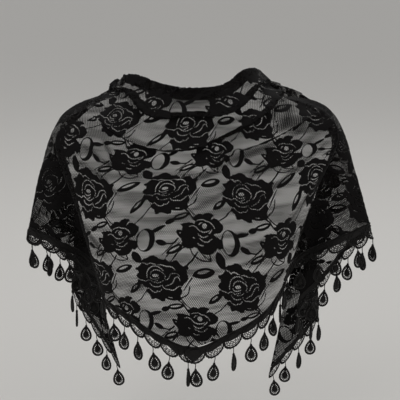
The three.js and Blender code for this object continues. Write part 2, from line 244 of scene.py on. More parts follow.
depths = np.linspace(0, DEPTH_END, DEPTH_STEPS + 1)
bare = np.zeros((len(across), len(depths), 3))
rib_length = np.zeros(len(across))
for i in range(len(across)):
    points = [edge[i], foot[i], mid[i], low[i], hem[i]]
    if stand[i] <= LEAST_STAND:
        points.pop(1)
    points = np.array(points)
    knots = distances(points)
    rib_length[i] = knots[-1]
    bare[i] = through(knots, points, depths)
print("ribs", round(rib_length.min()), "to", round(rib_length.max()), "mm long")

# %% [markdown]
# ## Rolls on the shoulders
#
# Where the scarf lies over the shoulders its spare cloth bunches into soft rolls, with a dip
# beside the collar. More ribs could describe them, but a few smooth swellings, each with a
# place and a reach along the cloth and down it, are easier to read and to move.

# %% Lift the rolls, and sink the dip
SHOULDER_ROLLS = [
    dict(along=-150, depth=70, rise=5.5, reach_along=13, reach_depth=45),
    dict(along=160, depth=42, rise=5, reach_along=12, reach_depth=32),
    dict(along=140, depth=98, rise=7, reach_along=10, reach_depth=32),
    dict(along=148, depth=13, rise=9, reach_along=10, reach_depth=18),
    dict(along=-149, depth=19, rise=8, reach_along=8, reach_depth=11),
    dict(along=-142, depth=6, rise=-8, reach_along=7, reach_depth=6),
]
for roll in SHOULDER_ROLLS:
    off_along = (along[:, None] - roll["along"]) / roll["reach_along"]
    off_depth = (depths - roll["depth"]) / roll["reach_depth"]
    bare[..., 2] += roll["rise"] * np.exp(-off_along**2 - off_depth**2)
print("shoulder rolls up to", max(roll["rise"] for roll in SHOULDER_ROLLS), "mm high")

# %% The way that faces out, at every place on the bare drape
facing = np.cross(np.gradient(bare, axis=1), np.gradient(bare, axis=0))
size = np.linalg.norm(facing, axis=2)
for i in range(len(across)):
    last = np.searchsorted(depths, rib_length[i]) - 2
    facing[i, last:] = facing[i, last]
    size[i, last:] = size[i, last]
facing /= size[..., None]
print("front centre faces", facing[len(across) // 2, DEPTH_STEPS // 3].round(2))

# %% [markdown]
# ## Laying the cloth
#
# Now a length of cloth is laid down the bare drape from its free edge: in over the turned
# neck edge, down, and at each lip of the cowl up behind itself and down again. That gives
# the true doubled layers, which show as the dark bands of the cowl because two or three
# layers of net let less light through.

# %% Where cloth lies after a length of it has been laid
FOLD_STEP = 5
FOLD_LEAD = 18
FULL_TUCK = 6
TURN_LEAD = 4


def laid(cloth, turned, starts, tucks):
    """Depth below the neck, and how far the cloth stands off the bare drape."""
    rolled = NECK_TURNS * turned
    in_roll = np.clip(rolled - cloth, 0, None)
    wave = np.abs((in_roll + turned) % max(2 * turned, 1e-6) - turned)
    depth = np.where(cloth < rolled, wave, cloth - rolled)
    layer = in_roll / max(turned, 1e-6)
    step = FOLD_STEP / NECK_TURNS * np.clip(turned / TURN_LEAD, 0, 1)
    off = -step * (np.floor(layer) + np.clip((layer % 1) * turned / TURN_LEAD, 0, 1))
    for start, tuck in zip(starts, tucks):
        step = FOLD_STEP * min(1, tuck / FULL_TUCK)
        past = cloth - start
        after = past - 2 * tuck
        depth = depth - 2 * np.clip(past, 0, tuck)
        off += np.where((past > -FOLD_LEAD) & (past <= 0), step * (1 + past / FOLD_LEAD), 0)
        off += np.where((past > 0) & (after <= 0), step * (1 - past / max(tuck, 1e-6)), 0)
        off -= np.where((after > 0) & (after < FOLD_LEAD), step * (1 - after / FOLD_LEAD), 0)
    return depth, off


# %% The length of cloth that each rib takes up
def cowl(key):
    """Values of the cowl's table at every place along the hem, none below 0."""
    return np.maximum(0, through(column(COWL, "along"), column(COWL, key), along))


turned_in = ROLL_DEEPER * cowl("turned")
lips, tucks = (np.repeat(cowl(key), TUCKS_PER_FOLD, axis=1) for key in ("lips", "tucks"))
starts = lips + NECK_TURNS * turned_in[:, None] + 2 * (np.cumsum(tucks, axis=1) - tucks)
cloth_length = rib_length + NECK_TURNS * turned_in + 2 * tucks.sum(axis=1)
print("cloth down the front centre", round(cloth_length[len(across) // 2]), "mm")

# %% Lay the cloth down every rib, with each fold rounded over a few millimetres
CLOTH_STEPS = 460
FOLD_ROUNDING = (-2, -1, 0, 1, 2)

share = np.linspace(0, 1, CLOTH_STEPS + 1)
depth_at = np.zeros((len(across), len(share)))
off_at = np.zeros_like(depth_at)
for i in range(len(across)):
    for shift in FOLD_ROUNDING:
        cloth = np.clip(share * cloth_length[i] + shift, 0, cloth_length[i])
        depth, off = laid(cloth, turned_in[i], starts[i], tucks[i])
        depth_at[i] += depth / len(FOLD_ROUNDING)
        off_at[i] += off / len(FOLD_ROUNDING)
print("cloth stands", round(-off_at.min(), 1), "mm behind the drape at most")


# %% Values of the bare drape where the cloth lies
def along_depth(grid, depth):
    """Values of a grid of the bare drape at the depth that each cloth point has."""
    place = np.clip(depth / DEPTH_END * DEPTH_STEPS, 0, DEPTH_STEPS - 1e-6)
    k = place.astype(int)
    t = (place - k)[..., None]
    rows = np.arange(len(grid))[:, None]
    return grid[rows, k] * (1 - t) + grid[rows, k + 1] * t


draped = along_depth(bare, depth_at)
out_at = along_depth(facing, depth_at)
out_at /= np.linalg.norm(out_at, axis=2)[..., None]
draped += off_at[..., None] * out_at
print("draped box", draped.reshape(-1, 3).min(0).round(), draped.reshape(-1, 3).max(0).round())

# %% [markdown]
# ## Creases
#
# Soft creases run across the front from where the cloth is held up. Cloth simulation would
# give creases too, but not these. Each is drawn as a line seen from the front, in
# millimetres to the right of the neck and up from it, and the cloth near it is lifted to a
# low ridge. Just below the ridge, where its shade would fall, the net is made denser, so
# that it is darker there: this is painted shade. A value on each point keeps how much, so
# that the net's material can close its meshes there.

# %% Table of the creases
CREASES = [
    dict(line=[(-83, -158), (29, -101), (177, -50)], height=3.2, width=6),
    dict(line=[(-66, -178), (7, -146), (82, -108), (173, -60)], height=2.2, width=6),
    dict(line=[(52, -163), (102, -128), (179, -76)], height=2.4, width=6),
    dict(line=[(94, -208), (130, -168), (183, -105)], height=2.6, width=6),
    dict(line=[(-183, -101), (-135, -117), (-100, -148)], height=2.6, width=6),
    dict(line=[(-163, -78), (-128, -99), (-92, -110)], height=2.2, width=5),
    dict(line=[(-128, -73), (-116, -92), (-108, -108)], height=1.8, width=4),
    dict(line=[(-171, -177), (-145, -205), (-121, -238)], height=2.4, width=6),
    dict(line=[(0, -212), (60, -204), (114, -201)], height=1.6, width=5),
    dict(line=[(-110, -285), (-60, -250), (-8, -236)], height=1.6, width=5),
    dict(line=[(86, -10), (107, -36), (92, -62)], height=1.6, width=6),
    dict(line=[(104, -12), (124, -42), (112, -72)], height=1.6, width=6),
    dict(line=[(136, -30), (144, -50), (132, -78)], height=1.6, width=5),
    dict(line=[(-124, -18), (-112, -44), (-96, -66)], height=1.6, width=5),
    # The last four creases are low or wide: they serve mostly to paint shade on the net below them
    dict(line=[(82, -8), (112, -20), (138, -44)], height=1.5, width=13),
    dict(line=[(94, -34), (120, -44), (146, -46)], height=1.0, width=12),
    dict(line=[(-119, 0), (-96, -19), (-77, -30), (-44, -42)], height=0.4, width=6),
    dict(line=[(-68, -15), (-30, -20), (7, -21), (34, -14)], height=0.2, width=3.5),
]
print(len(CREASES), "creases, up to", max(crease["height"] for crease in CREASES), "mm high")

# %% How each place of the cloth lies to a crease, seen from the front
CREASE_STEPS = 14

seen = draped[..., [0, 2]]


def from_crease(line):
    """Distance from a crease, height above it, and share of the way along it."""
    line = np.array(line, float)
    line = through(distances(line), line, np.linspace(0, distances(line)[-1], CREASE_STEPS + 1))
    nearest = np.full(seen.shape[:2], np.inf)
    above, share_at = np.zeros_like(nearest), np.zeros_like(nearest)
    for k in range(CREASE_STEPS):
        way = line[k + 1] - line[k]
        t = np.clip(((seen - line[k]) @ way) / (way @ way), 0, 1)
        gap = seen - line[k] - t[..., None] * way
        far = np.hypot(gap[..., 0], gap[..., 1])
        side = np.sign(way[0] * gap[..., 1] - way[1] * gap[..., 0])
        closer = far < nearest
        nearest = np.where(closer, far, nearest)
        above = np.where(closer, side * far, above)
        share_at = np.where(closer, (k + t) / CREASE_STEPS, share_at)
    return nearest, above, share_at


# %% Lift each crease, and paint shade below it by drawing the net together there
CREASE_ENDS = 0.6
SHADED_BELOW = 0.9
SHADE_SPREAD = 0.4
SHADE_REACH = 4
FRONT_SLOPE = 2
FRONT_FROM = 0.4

gathered_and_painted_shade = np.zeros(draped.shape[:2])
faces_front = np.clip(-FRONT_SLOPE * out_at[..., 1] - FRONT_FROM, 0, 1)
for crease in CREASES:
    nearest, above, share_at = from_crease(crease["line"])
    fade = faces_front * np.sin(math.pi * share_at) ** CREASE_ENDS
    ridge = fade * np.exp(-((nearest / crease["width"]) ** 2))
    # Painted shade: a band just below each ridge, where its shade would fall, makes the net denser
    shade = np.exp(-((above / crease["width"] + SHADED_BELOW) ** 2) / SHADE_SPREAD)
    draped += (crease["height"] * ridge)[..., None] * out_at
    gathered_and_painted_shade += fade * shade * (nearest < SHADE_REACH * crease["width"])
print("net drawn together on", round(100 * (gathered_and_painted_shade > 0.5).mean()), "% of the cloth")

# %% [markdown]
# ## Pleats of the tails
#
# Behind the shoulders both ends of the scarf hang bunched, in pleats too fine for the ribs.
# They could be ribs of their own, but an even wave across the cloth shows them as well. It
# starts below the shoulder and fades out at the hem, and the net closes there as well.

# %% Pleat the tails
TAILS_START = 158
TAIL_LEAD = 9
TAIL_DRAWN_FROM = 170
TAIL_DRAWN_OVER = 90
TAIL_GATHER = 0.9
PLEAT_PITCH = 14
PLEAT_HEIGHT = 3
PLEAT_ENDS = 0.7

in_tail = np.clip((np.abs(along) - TAILS_START) / TAIL_LEAD, 0, 1)[:, None]
drawn = np.clip((depth_at - TAIL_DRAWN_FROM) / TAIL_DRAWN_OVER, 0, 1)
pleat_fade = in_tail * drawn * np.sin(math.pi * np.clip(share, 0, 1)) ** PLEAT_ENDS
pleat = PLEAT_HEIGHT * pleat_fade * np.sin(2 * math.pi * across / PLEAT_PITCH)[:, None]
draped += pleat[..., None] * out_at
gathered_and_painted_shade += TAIL_GATHER * in_tail * drawn
print("pleats up to", round(pleat.max(), 1), "mm high")

# %% [markdown]
# ## The flat pattern
#
# Lace is made flat and then worn, so its roses must be drawn on the flat triangle and
# carried onto the drape. Blender's unwrapping does the reverse of sewing: it lays a curved
# surface flat with as little stretch as it can. Painting the roses straight onto the
# drape would be simpler, but they would not bend and vanish into the folds as real ones do.

# %% Build meshes from arrays
def grid_faces(columns, rows):
    """Faces of four corners between the points of a grid."""
    i, j = np.meshgrid(np.arange(columns - 1), np.arange(rows - 1), indexing="ij")
    corner = (i * rows + j).ravel()
    return np.stack([corner, corner + 1, corner + rows + 1, corner + rows], axis=1)


def new_mesh_object(name, vertices, faces):
    """An object from vertices in millimetres and faces of three or four corners."""
    mesh = bpy.data.meshes.new(name)
    mesh.vertices.add(len(vertices))
    mesh.vertices.foreach_set("co", (np.asarray(vertices) * MM).astype(np.float32).ravel())
    sides = faces.shape[1]
    mesh.loops.add(faces.size)
    mesh.loops.foreach_set("vertex_index", faces.astype(np.int32).ravel())
    mesh.polygons.add(len(faces))
    mesh.polygons.foreach_set("loop_start", np.arange(0, faces.size, sides, dtype=np.int32))
    mesh.polygons.foreach_set("use_smooth", np.ones(len(faces), bool))
    mesh.update(calc_edges=True)
    made = bpy.data.objects.new(name, mesh)
    bpy.context.scene.collection.objects.link(made)
    return made


# %% Unwrap a light copy of the drape
PATTERN_STEP = 5
UNWRAP_ROUNDS = 30

coarse = draped[::PATTERN_STEP, ::PATTERN_STEP]
pattern_columns, pattern_rows = coarse.shape[:2]
pattern_faces = grid_faces(pattern_columns, pattern_rows)
pattern = new_mesh_object("pattern", coarse.reshape(-1, 3), pattern_faces)
pattern.data.uv_layers.new(name="flat")
bpy.ops.object.select_all(action="DESELECT")
pattern.select_set(True)
bpy.context.view_layer.objects.active = pattern
bpy.ops.object.mode_set(mode="EDIT")
bpy.ops.mesh.select_all(action="SELECT")
bpy.ops.uv.unwrap(method="MINIMUM_STRETCH", margin=0, iterations=UNWRAP_ROUNDS)
bpy.ops.object.mode_set(mode="OBJECT")

# %% Read the flat places back, one for each point
corner_uv = np.zeros(len(pattern.data.loops) * 2)
pattern.data.uv_layers["flat"].data.foreach_get("uv", corner_uv)
corner_vertex = np.zeros(len(pattern.data.loops), int)
pattern.data.loops.foreach_get("vertex_index", corner_vertex)
flat = np.zeros((pattern_columns * pattern_rows, 2))
flat[corner_vertex] = corner_uv.reshape(-1, 2)
bpy.data.objects.remove(pattern)
print(len(flat), "points laid flat")


# %% Scale the pattern to real size, with the front centre line upright
def quad_areas(points, faces):
    """Areas of the faces of a grid, drawn flat or in space."""
    a, b, c, d = (points[faces[:, k]] for k in range(4))
    if points.shape[1] == 2:
        return 0.5 * np.cross(c - a, d - b)
    return 0.5 * np.linalg.norm(np.cross(c - a, d - b), axis=1)


cloth_area = quad_areas(coarse.reshape(-1, 3), pattern_faces).sum()
flat_area = quad_areas(flat, pattern_faces).sum()
flat *= math.sqrt(cloth_area / abs(flat_area))
flat = flat.reshape(pattern_columns, pattern_rows, 2)
centre_column = np.abs(across[::PATTERN_STEP] - hem_knots[front_centre]).argmin()
if flat_area < 0:
    flat[..., 0] *= -1
centre_line = flat[centre_column, -1] - flat[centre_column, 0]
turn = -math.pi / 2 - math.atan2(centre_line[1], centre_line[0])
upright = np.array([[math.cos(turn), math.sin(turn)], [-math.sin(turn), math.cos(turn)]])
flat = (flat - flat[centre_column, 0]) @ upright
print("cloth area", round(cloth_area / 1e6, 4), "m2")
print("flat pattern", np.ptp(flat[..., 0]).round(), "by", np.ptp(flat[..., 1]).round(), "mm")
print("point at", flat[centre_column, -1].round())

# %% [markdown]
# ## The repeat of the lace
#
# A lace machine knits the same motifs again and again on a slanting lattice. Here one
# repeat holds a large rose, a smaller rose, a curled ring of a leaf, open and solid leaves
# and thin stems. Each is charted in millimetres on the flat cloth. A picture of lace could
# be pressed onto the cloth instead, but true outlines stay sharp from any distance.
#
# Inside a dense rose the petals are told apart by narrow gaps where only net is knitted. So
# each rose has an outline, the middle lines of its gaps, and an open heart.

# %% Chart of the large rose
LARGE_ROSE = [
    (-14.3, 24.1), (-8.8, 25.4), (-3.4, 28), (2, 27.1), (6.1, 23.4), (10.2, 21.4), (14.3, 21.8),
    (17, 19.3), (21.1, 17.3), (25.2, 19), (29.2, 18.9), (32.6, 15.2), (36, 12.5), (41.5, 13.5),
    (43.4, 10.5), (40.8, 7.1), (41.2, 3), (42.3, -2.4), (40.1, -6.5), (36.7, -9.9), (34, -13.6),
    (32, -17.4), (33, -21.5), (30.6, -26.2), (30.6, -33.7), (23.1, -34), (20.4, -32.1), (15, -31.3),
    (10.2, -32.6), (8.4, -38.2), (3.4, -38.1), (-0.7, -35.8), (-6.1, -35.4), (-8.8, -37), (-10.9, -33.7),
    (-12.2, -29.6), (-15.6, -26.2), (-16.6, -23.3), (-14.3, -20), (-18, -18), (-21.1, -14.1),
    (-27.5, -14.7), (-27.1, -9.2), (-25.2, -5.2), (-27.9, -1.8), (-25.8, 2.3), (-23.8, 4.4), (-24.1, 7.8),
    (-27.2, 9.8), (-26.5, 12.2), (-22.4, 13.1), (-20, 15.9), (-17, 18), (-18.4, 20.7),
]
LARGE_ROSE_GAPS = [
    [(-16.3, 19.3), (-12.2, 18), (-9.5, 15.8), (-7.5, 17.5), (-3.4, 17.5), (-0.7, 16.2), (2.7, 15.5)],
    [(-11.8, -3.8), (-12, 1), (-10.9, 5.7), (-8.8, 9.1), (-6.1, 11.6), (-2, 13.2),
     (2, 13.1), (5.4, 11.6), (8.8, 8.8), (11.6, 5.7)],
    [(4.1, 14.4), (7.5, 14.8), (11.6, 13.7), (15.6, 12), (19, 12.1), (22.4, 11), (25.2, 9), (26.5, 7.1)],
    [(-6.9, 1), (-5.4, 4.8), (-2, 7.5), (2, 8), (5.4, 6.7),
     (8.8, 4.8), (12, 2), (12.8, -1.8), (11.2, -5.4)],
    [(9.7, -7.5), (6.8, -9.5), (3.4, -11.4), (-1, -11.4), (-5.4, -9.2), (-8.8, -6.9),
     (-11.6, -7.1), (-14, -9), (-17.7, -7.8), (-22.4, -6.9), (-26.5, -4.5)],
    [(-7.8, -2.2), (-5.2, -5), (0, -5.3), (4.8, -3.4)],
    [(-2.7, -9.2), (1.1, -8.3), (4.1, -6.5)],
    [(-9.9, -11), (-8.2, -14.7), (-5.4, -16.9), (-1.4, -17.5), (2.7, -17), (5.7, -15.5)],
    [(-15.2, -21.8), (-12.2, -19.9), (-10.2, -21.8), (-8.2, -24.2), (-5.3, -25.8), (-2, -25.7),
     (-0.4, -23.9), (2, -24.8), (4.8, -22.6), (6.1, -20.1)],
    [(6.7, -14.1), (8.2, -17.8), (11.6, -20.1), (15.6, -20.3), (19.7, -21.2), (23.8, -19.3),
     (26.5, -16.7), (29.2, -15), (31.3, -14.3), (33.7, -16.6)],
    [(11.3, -16), (15.6, -14.3), (19.7, -12), (22.2, -9.2), (23.8, -5.8),
     (25.8, -2.7), (28.4, -1.5), (30.3, -3.8), (31.4, -7.5)],
    [(12.6, -6.9), (15.2, -5.8), (17.8, -3.1), (19, 0.3), (21.1, 2),
     (23.8, 3), (27.2, 3), (29.8, 1.2), (30.9, -1.1)],
]
LARGE_ROSE_HEART = (4.2, 2.4)
print("large rose:", len(LARGE_ROSE), "points,", len(LARGE_ROSE_GAPS), "gaps")

# %% Chart of the small rose, which is knitted a little smaller than it is drawn
SMALL_ROSE = [
    (-17.7, 11.8), (-13.6, 13.6), (-10.2, 16.7), (-6.8, 17.8), (-3.4, 16.7), (-0.7, 16.3), (2, 18.6),
    (6.1, 19.6), (10.9, 19), (15, 16.9), (11.3, 13.6), (9.8, 9.5), (12.9, 11.7), (17, 12.4), (21.1, 10.3),
    (24.1, 7.5), (27.2, 4.1), (26.7, -0.7), (24.1, -4.8), (20.4, -7.2), (15.6, -8.3), (12.5, -10.1),
    (15.6, -12), (19.7, -13.6), (23.5, -15.8), (24.8, -20), (23.8, -24.5), (20.4, -26.7), (16.3, -25.8),
    (14, -28.8), (9.9, -32.6), (4.1, -34.5), (-2.7, -34.7), (-7.1, -32.6), (-9.5, -29), (-15, -27.3),
    (-19.7, -28.2), (-25.8, -28.4), (-30.6, -26.7), (-32.9, -23.1), (-32.4, -19.4), (-34.3, -15),
    (-34.8, -9.5), (-32.6, -4.1), (-32.2, 0.7), (-34.5, 3.5), (-29.9, 4.8), (-24.5, 5.2), (-19, 4.9),
    (-14.6, 3.5), (-13.6, 6.4), (-16.3, 8.8),
]
SMALL_ROSE_GAPS = [
    [(-12.2, 6.5), (-9.5, 8), (-5.4, 8.8), (-1.4, 9.1), (2, 7.1),
     (6.8, 6.3), (10.3, 4.1), (13.1, 1.4), (14.8, -2.3)],
    [(-8.2, 1.4), (-6.4, 3.8), (-3.4, 4.8)],
    [(-22.4, -1.1), (-19, 0.5), (-15, -0.1), (-11.6, -2.7), (-8.8, -5.4),
     (-5.4, -7.3), (-0.7, -8), (3.4, -7.1), (7.5, -5)],
    [(-10.1, -10.2), (-7.5, -12.9), (-3.4, -14.7), (0.7, -14.1), (4.4, -11.8)],
    [(-8.2, -15.8), (-4.8, -18.4), (-0.7, -20.1), (4.1, -19.7), (6.8, -17.5), (10.3, -15.6)],
    [(-10.9, -22.6), (-6.8, -24.6), (-2, -24.8)],
    [(-17.7, -15.1), (-14.3, -16)],
    [(5.3, -9.4), (8.6, -7.1), (10.7, -3.8)],
]
SMALL_ROSE_HEART = (3.2, 3.4)
SMALL_ROSE_SCALE = 0.92
print("small rose:", len(SMALL_ROSE), "points,", len(SMALL_ROSE_GAPS), "gaps")

# %% Leaves and stems, with places from the heart of the rose that each row names
LEAVES = [
    dict(of="large", x=-23, y=28, length=19, width=12, turn=-65, slit=0, drop=0),
    dict(of="large", x=-46, y=11, length=31, width=12, turn=18, slit=17, drop=1.6),
    dict(of="large", x=-32, y=-20, length=27, width=9, turn=44, slit=11, drop=1.0),
    dict(of="large", x=27, y=33, length=23, width=9, turn=22, slit=14, drop=0.5),
    dict(of="large", x=38, y=49, length=21, width=9, turn=-38, slit=12, drop=0.3),
    dict(of="small", x=-31, y=14, length=24, width=8.5, turn=14, slit=15, drop=0.4),
    dict(of="small", x=-38, y=27, length=25, width=9, turn=-12, slit=13, drop=0.2),
    dict(of="small", x=-45, y=9, length=13, width=7, turn=22, slit=0, drop=0),
    dict(of="small", x=-61, y=1, length=22, width=5.5, turn=20, slit=0, drop=0),
    dict(of="small", x=52, y=-21, length=15, width=7, turn=-24, slit=0, drop=0),
]
STEMS = [
    dict(of="small", width=2.1, line=[(-15, 9), (-18, 14), (-22, 20), (-27, 24)]),
    dict(of="small", width=1.7, line=[(-25, 23), (-22, 27), (-14, 33), (-11, 40), (-10, 46)]),
    dict(of="small", width=1.9, line=[(58, -23), (66, -24), (74, -18)]),
    dict(of="small", width=1.3, line=[(-34, -14), (-44, -22), (-56, -32)]),
    dict(of="small", width=1.3, line=[(-33, -19), (-42, -26), (-52, -36)]),
    dict(of="small", width=2.1, line=[(-10, -30), (-17, -38), (-24, -45), (-34, -51)]),
    dict(of="small", width=1.6, line=[(20, 9), (30, 17), (36, 25), (41, 30)]),
    dict(of="large", width=1.7, line=[(-20, 22), (-15, 17), (-10, 14)]),
    dict(of="large", width=1.6, line=[(-61, 4), (-68, -6), (-74, -16)]),
    dict(of="large", width=1.5, line=[(28, -27), (34, -37), (44, -46), (52, -52)]),
    dict(of="large", width=1.8, line=[(20, 17), (32, 30), (42, 38), (45, 46)]),
]
# The big veined leaf has no dense ground: only its edge and its vein are knitted thick
VEINED_LEAF = [
    dict(of="large", width=1.9, line=[(-71, 48), (-59, 51.5), (-48, 49.5), (-40, 41), (-35, 26)]),
    dict(of="large", width=1.7, line=[(-66, 48), (-63, 41), (-58, 31), (-46, 25), (-35, 26)]),
    dict(of="large", width=1.5, line=[(-56, 50), (-52, 38), (-45, 31), (-36, 26.5)]),
]
RING_LEAF = dict(
    of="small", x=33, y=-15, length=30, width=24, turn=84,
    opening_length=26, opening_width=15, opening_x=-2.6, opening_y=0.2,
)
print(len(LEAVES), "leaves,", len(STEMS + VEINED_LEAF), "stems and veins")

# %% [markdown]
# ## Where the roses lie
#
# The repeats lie on an even lattice, but worn lace is stretched here and slack there. The
# flat pattern allows for most of that. Knitting also gives sideways, so each row of the
# second table names a place on the even lattice and how far the knitting is pulled from it.
# The pull fades out with the distance from that place.

# %% The lattice: the first rose of each kind from the middle of the neck, and both steps
REPEAT_ACROSS = np.array([108.5, -4.7])
REPEAT_DOWN = np.array([-13.4, -117.4])
ROSE_AT = dict(large=np.array([-25.7, -253.1]), small=np.array([27.7, -311.0]))
print("a repeat is", np.linalg.norm(REPEAT_ACROSS).round(), "by", np.linalg.norm(REPEAT_DOWN).round(), "mm")

# %% How the knitting is pulled
PULLS = [
    dict(x=-121, y=-131, dx=15, dy=-19),
    dict(x=-12, y=-136, dx=16, dy=2),
    dict(x=54, y=-76, dx=1, dy=9),
    dict(x=96, y=-140, dx=0, dy=-11),
    dict(x=-67, y=-189, dx=2, dy=-18),
    dict(x=41, y=-194, dx=10, dy=8),
    dict(x=-176, y=-184, dx=11, dy=20),
    dict(x=150, y=-198, dx=-7, dy=-20),
    dict(x=-134, y=-248, dx=-4, dy=-8),
    dict(x=-26, y=-253, dx=7, dy=4),
    dict(x=-26, y=-290, dx=4, dy=22),
    dict(x=83, y=-258, dx=-12, dy=-8),
    dict(x=191, y=-262, dx=0, dy=28),
    dict(x=-81, y=-306, dx=-16, dy=-9),
    dict(x=28, y=-311, dx=-3, dy=21),
    dict(x=136, y=-316, dx=12, dy=-13),
    dict(x=-39, y=-370, dx=-1, dy=5),
    dict(x=-39, y=-407, dx=-1, dy=20),
    dict(x=69, y=-375, dx=0, dy=-18),
    dict(x=14, y=-428, dx=2, dy=5),
]
PULL_REACH = 38
PULL_FADE = 0.15


def pulled(points):
    """Points of the even lattice where the stretched cloth has them."""
    gaps_to = points[:, None] - np.stack([column(PULLS, "x"), column(PULLS, "y")], axis=1)
    weight = np.exp(-(gaps_to**2).sum(axis=2) / (2 * PULL_REACH**2))
    amount = weight @ np.stack([column(PULLS, "dx"), column(PULLS, "dy")], axis=1)
    return points + amount / (weight.sum(axis=1) + PULL_FADE)[:, None]


print(len(PULLS), "pulls, up to", round(max(math.hypot(row["dx"], row["dy"]) for row in PULLS)), "mm")

# %% [markdown]
# ## Outlines from the charts
#
# A chart has few points, so that it can be read. Curves through them give round petals, and
# fine nicks along the edge give the stepped look of knitting. A stem is a ribbon round its
# line, a petal gap a narrow and uneven one, and a leaf an oval with drawn-out tips.

# %% Even points and smooth lines
CURVE_STEP = 0.4


def resampled(points, step, closed):
    """The same line with points at even steps."""
    points = np.array(points, float)
    if closed:
        points = np.vstack([points, points[:1]])
    reach = distances(points)
    count = max(2, round(reach[-1] / step))
    places = np.linspace(0, reach[-1], count + 1)
    even = np.stack([np.interp(places, reach, points[:, k]) for k in range(2)], axis=1)
    return even[:-1] if closed else even


def rounded(points, closed):
    """A smooth line through chart points."""
    points = np.array(points, float)
    if closed:
        points = np.vstack([points[-3:], points, points[:3]])
    knots = distances(points)
    places = np.arange(knots[0], knots[-1], CURVE_STEP)
    if closed:
        places = places[(places >= knots[3]) & (places < knots[-3])]
    return through(knots, points, places)


def middle_line(line, step):
    """Even points along a charted line, and the way to its left at each."""
    if len(line) > 2:
        line = rounded(line, closed=False)
    middle = resampled(line, step, closed=False)
    way = np.gradient(middle, axis=0)
    way /= np.linalg.norm(way, axis=1)[:, None]
    return middle, np.stack([-way[:, 1], way[:, 0]], axis=1)


# %% The edge of a rose, with the fine nicks of its petals
PETAL_EDGE_STEP = 1.15
NICK_DEPTH = 0.8
NICK_LENGTH = 4.6
NICK_DRIFT = 1.6
NICK_DRIFT_LENGTH = 7
NICK_INWARD = 0.4


def rose_outline(chart):
    """The closed outline of a rose."""
    line = resampled(rounded(chart, closed=True), PETAL_EDGE_STEP, closed=True)
    way = np.roll(line, -1, axis=0) - np.roll(line, 1, axis=0)
    way /= np.linalg.norm(way, axis=1)[:, None]
    place = np.arange(len(line)) * PETAL_EDGE_STEP
    uneven = place + NICK_DRIFT * np.sin(place / NICK_DRIFT_LENGTH)
    nick = NICK_DEPTH * (np.abs(np.sin(math.pi * uneven / NICK_LENGTH)) - NICK_INWARD)
    return line + np.stack([-way[:, 1], way[:, 0]], axis=1) * nick[:, None]


print("large rose edge:", len(rose_outline(LARGE_ROSE)), "points")

# %% Stems, and the gaps between petals
EDGE_STEP = 1.3
STEM_ENDS = 0.8
GAP_WIDTH = 1.15
GAP_STEP = 1.0
GAP_WIGGLE = 0.38
GAP_WIGGLE_RATE = 2.1
GAP_UNEVEN = 0.3
GAP_UNEVEN_RATE = 3.3
GAP_ENDS = 0.06
GAP_TAPER = 0.4


def ribbon(line, width):
    """The outline of a line of a given width, a little narrower at its ends."""
    middle, left = middle_line(line, EDGE_STEP)
    share_along = np.linspace(0, 1, len(middle))
    half = width / 2 * (STEM_ENDS + (1 - STEM_ENDS) * np.sin(math.pi * share_along) ** 0.5)
    side = left * half[:, None]
    return np.vstack([middle + side, (middle - side)[::-1]])


def petal_gap(line):
    """The narrow, uneven gap between two petals, where only net is knitted."""
    middle, left = middle_line(line, GAP_STEP)
    place = np.arange(len(middle)) * GAP_STEP
    middle = middle + left * (GAP_WIGGLE * np.sin(GAP_WIGGLE_RATE * place))[:, None]
    taper = np.sin(math.pi * np.linspace(GAP_ENDS, 1 - GAP_ENDS, len(middle))) ** GAP_TAPER
    half = GAP_WIDTH / 2 * taper * (1 + GAP_UNEVEN * np.cos(GAP_UNEVEN_RATE * place))
    side = left * half[:, None]
    return np.vstack([middle + side, (middle - side)[::-1]])


# %% Leaves
LEAF_POINTED = 0.35
SLIT_POINTED = 0.3
SLIT_SHARE = 0.3


def oval(length, width, pointed=0.0):
    """A closed oval along x; pointed draws its ends out to tips."""
    count = max(8, round(math.pi * (length + width) / 2 / EDGE_STEP))
    angle = np.linspace(0, 2 * math.pi, count, endpoint=False)
    x, y = np.cos(angle), np.sin(angle)
    return np.stack([x * length / 2, y * np.abs(y) ** pointed * width / 2], axis=1)


def placed(outline, x, y, turn):
    """An outline turned by some degrees and set down at a place."""
    angle = math.radians(turn)
    spin = np.array([[math.cos(angle), math.sin(angle)], [-math.sin(angle), math.cos(angle)]])
    return outline @ spin + (x, y)


# %% All the shapes of one repeat, in the order in which dense and open ground overlie
shapes = []


def dense(outline, of):
    shapes.append((outline + ROSE_AT[of], True))


def open_net(outline, of):
    shapes.append((outline + ROSE_AT[of], False))


for stem in STEMS + VEINED_LEAF:
    dense(ribbon(stem["line"], stem["width"]), stem["of"])
for leaf in LEAVES:
    body = oval(leaf["length"], leaf["width"], LEAF_POINTED)
    dense(placed(body, leaf["x"], leaf["y"], leaf["turn"]), leaf["of"])
    if leaf["slit"]:
        slit = oval(leaf["slit"], leaf["width"] * SLIT_SHARE, SLIT_POINTED) + (0, leaf["drop"])
        open_net(placed(slit, leaf["x"], leaf["y"], leaf["turn"]), leaf["of"])
ring = RING_LEAF
dense(placed(oval(ring["length"], ring["width"]), ring["x"], ring["y"], ring["turn"]), ring["of"])
opening = oval(ring["opening_length"], ring["opening_width"])
opening_place = (ring["x"] + ring["opening_x"], ring["y"] + ring["opening_y"])
open_net(placed(opening, *opening_place, ring["turn"]), ring["of"])
for of, chart, gaps, heart, scale in (
    ("large", LARGE_ROSE, LARGE_ROSE_GAPS, LARGE_ROSE_HEART, 1),
    ("small", SMALL_ROSE, SMALL_ROSE_GAPS, SMALL_ROSE_HEART, SMALL_ROSE_SCALE),
):
    dense(rose_outline(scale * np.array(chart)), of)
    open_net(oval(heart[0] * 2, heart[1] * 2), of)
    for gap in gaps:
        open_net(petal_gap(scale * np.array(gap)), of)
print(len(shapes), "shapes in one repeat")

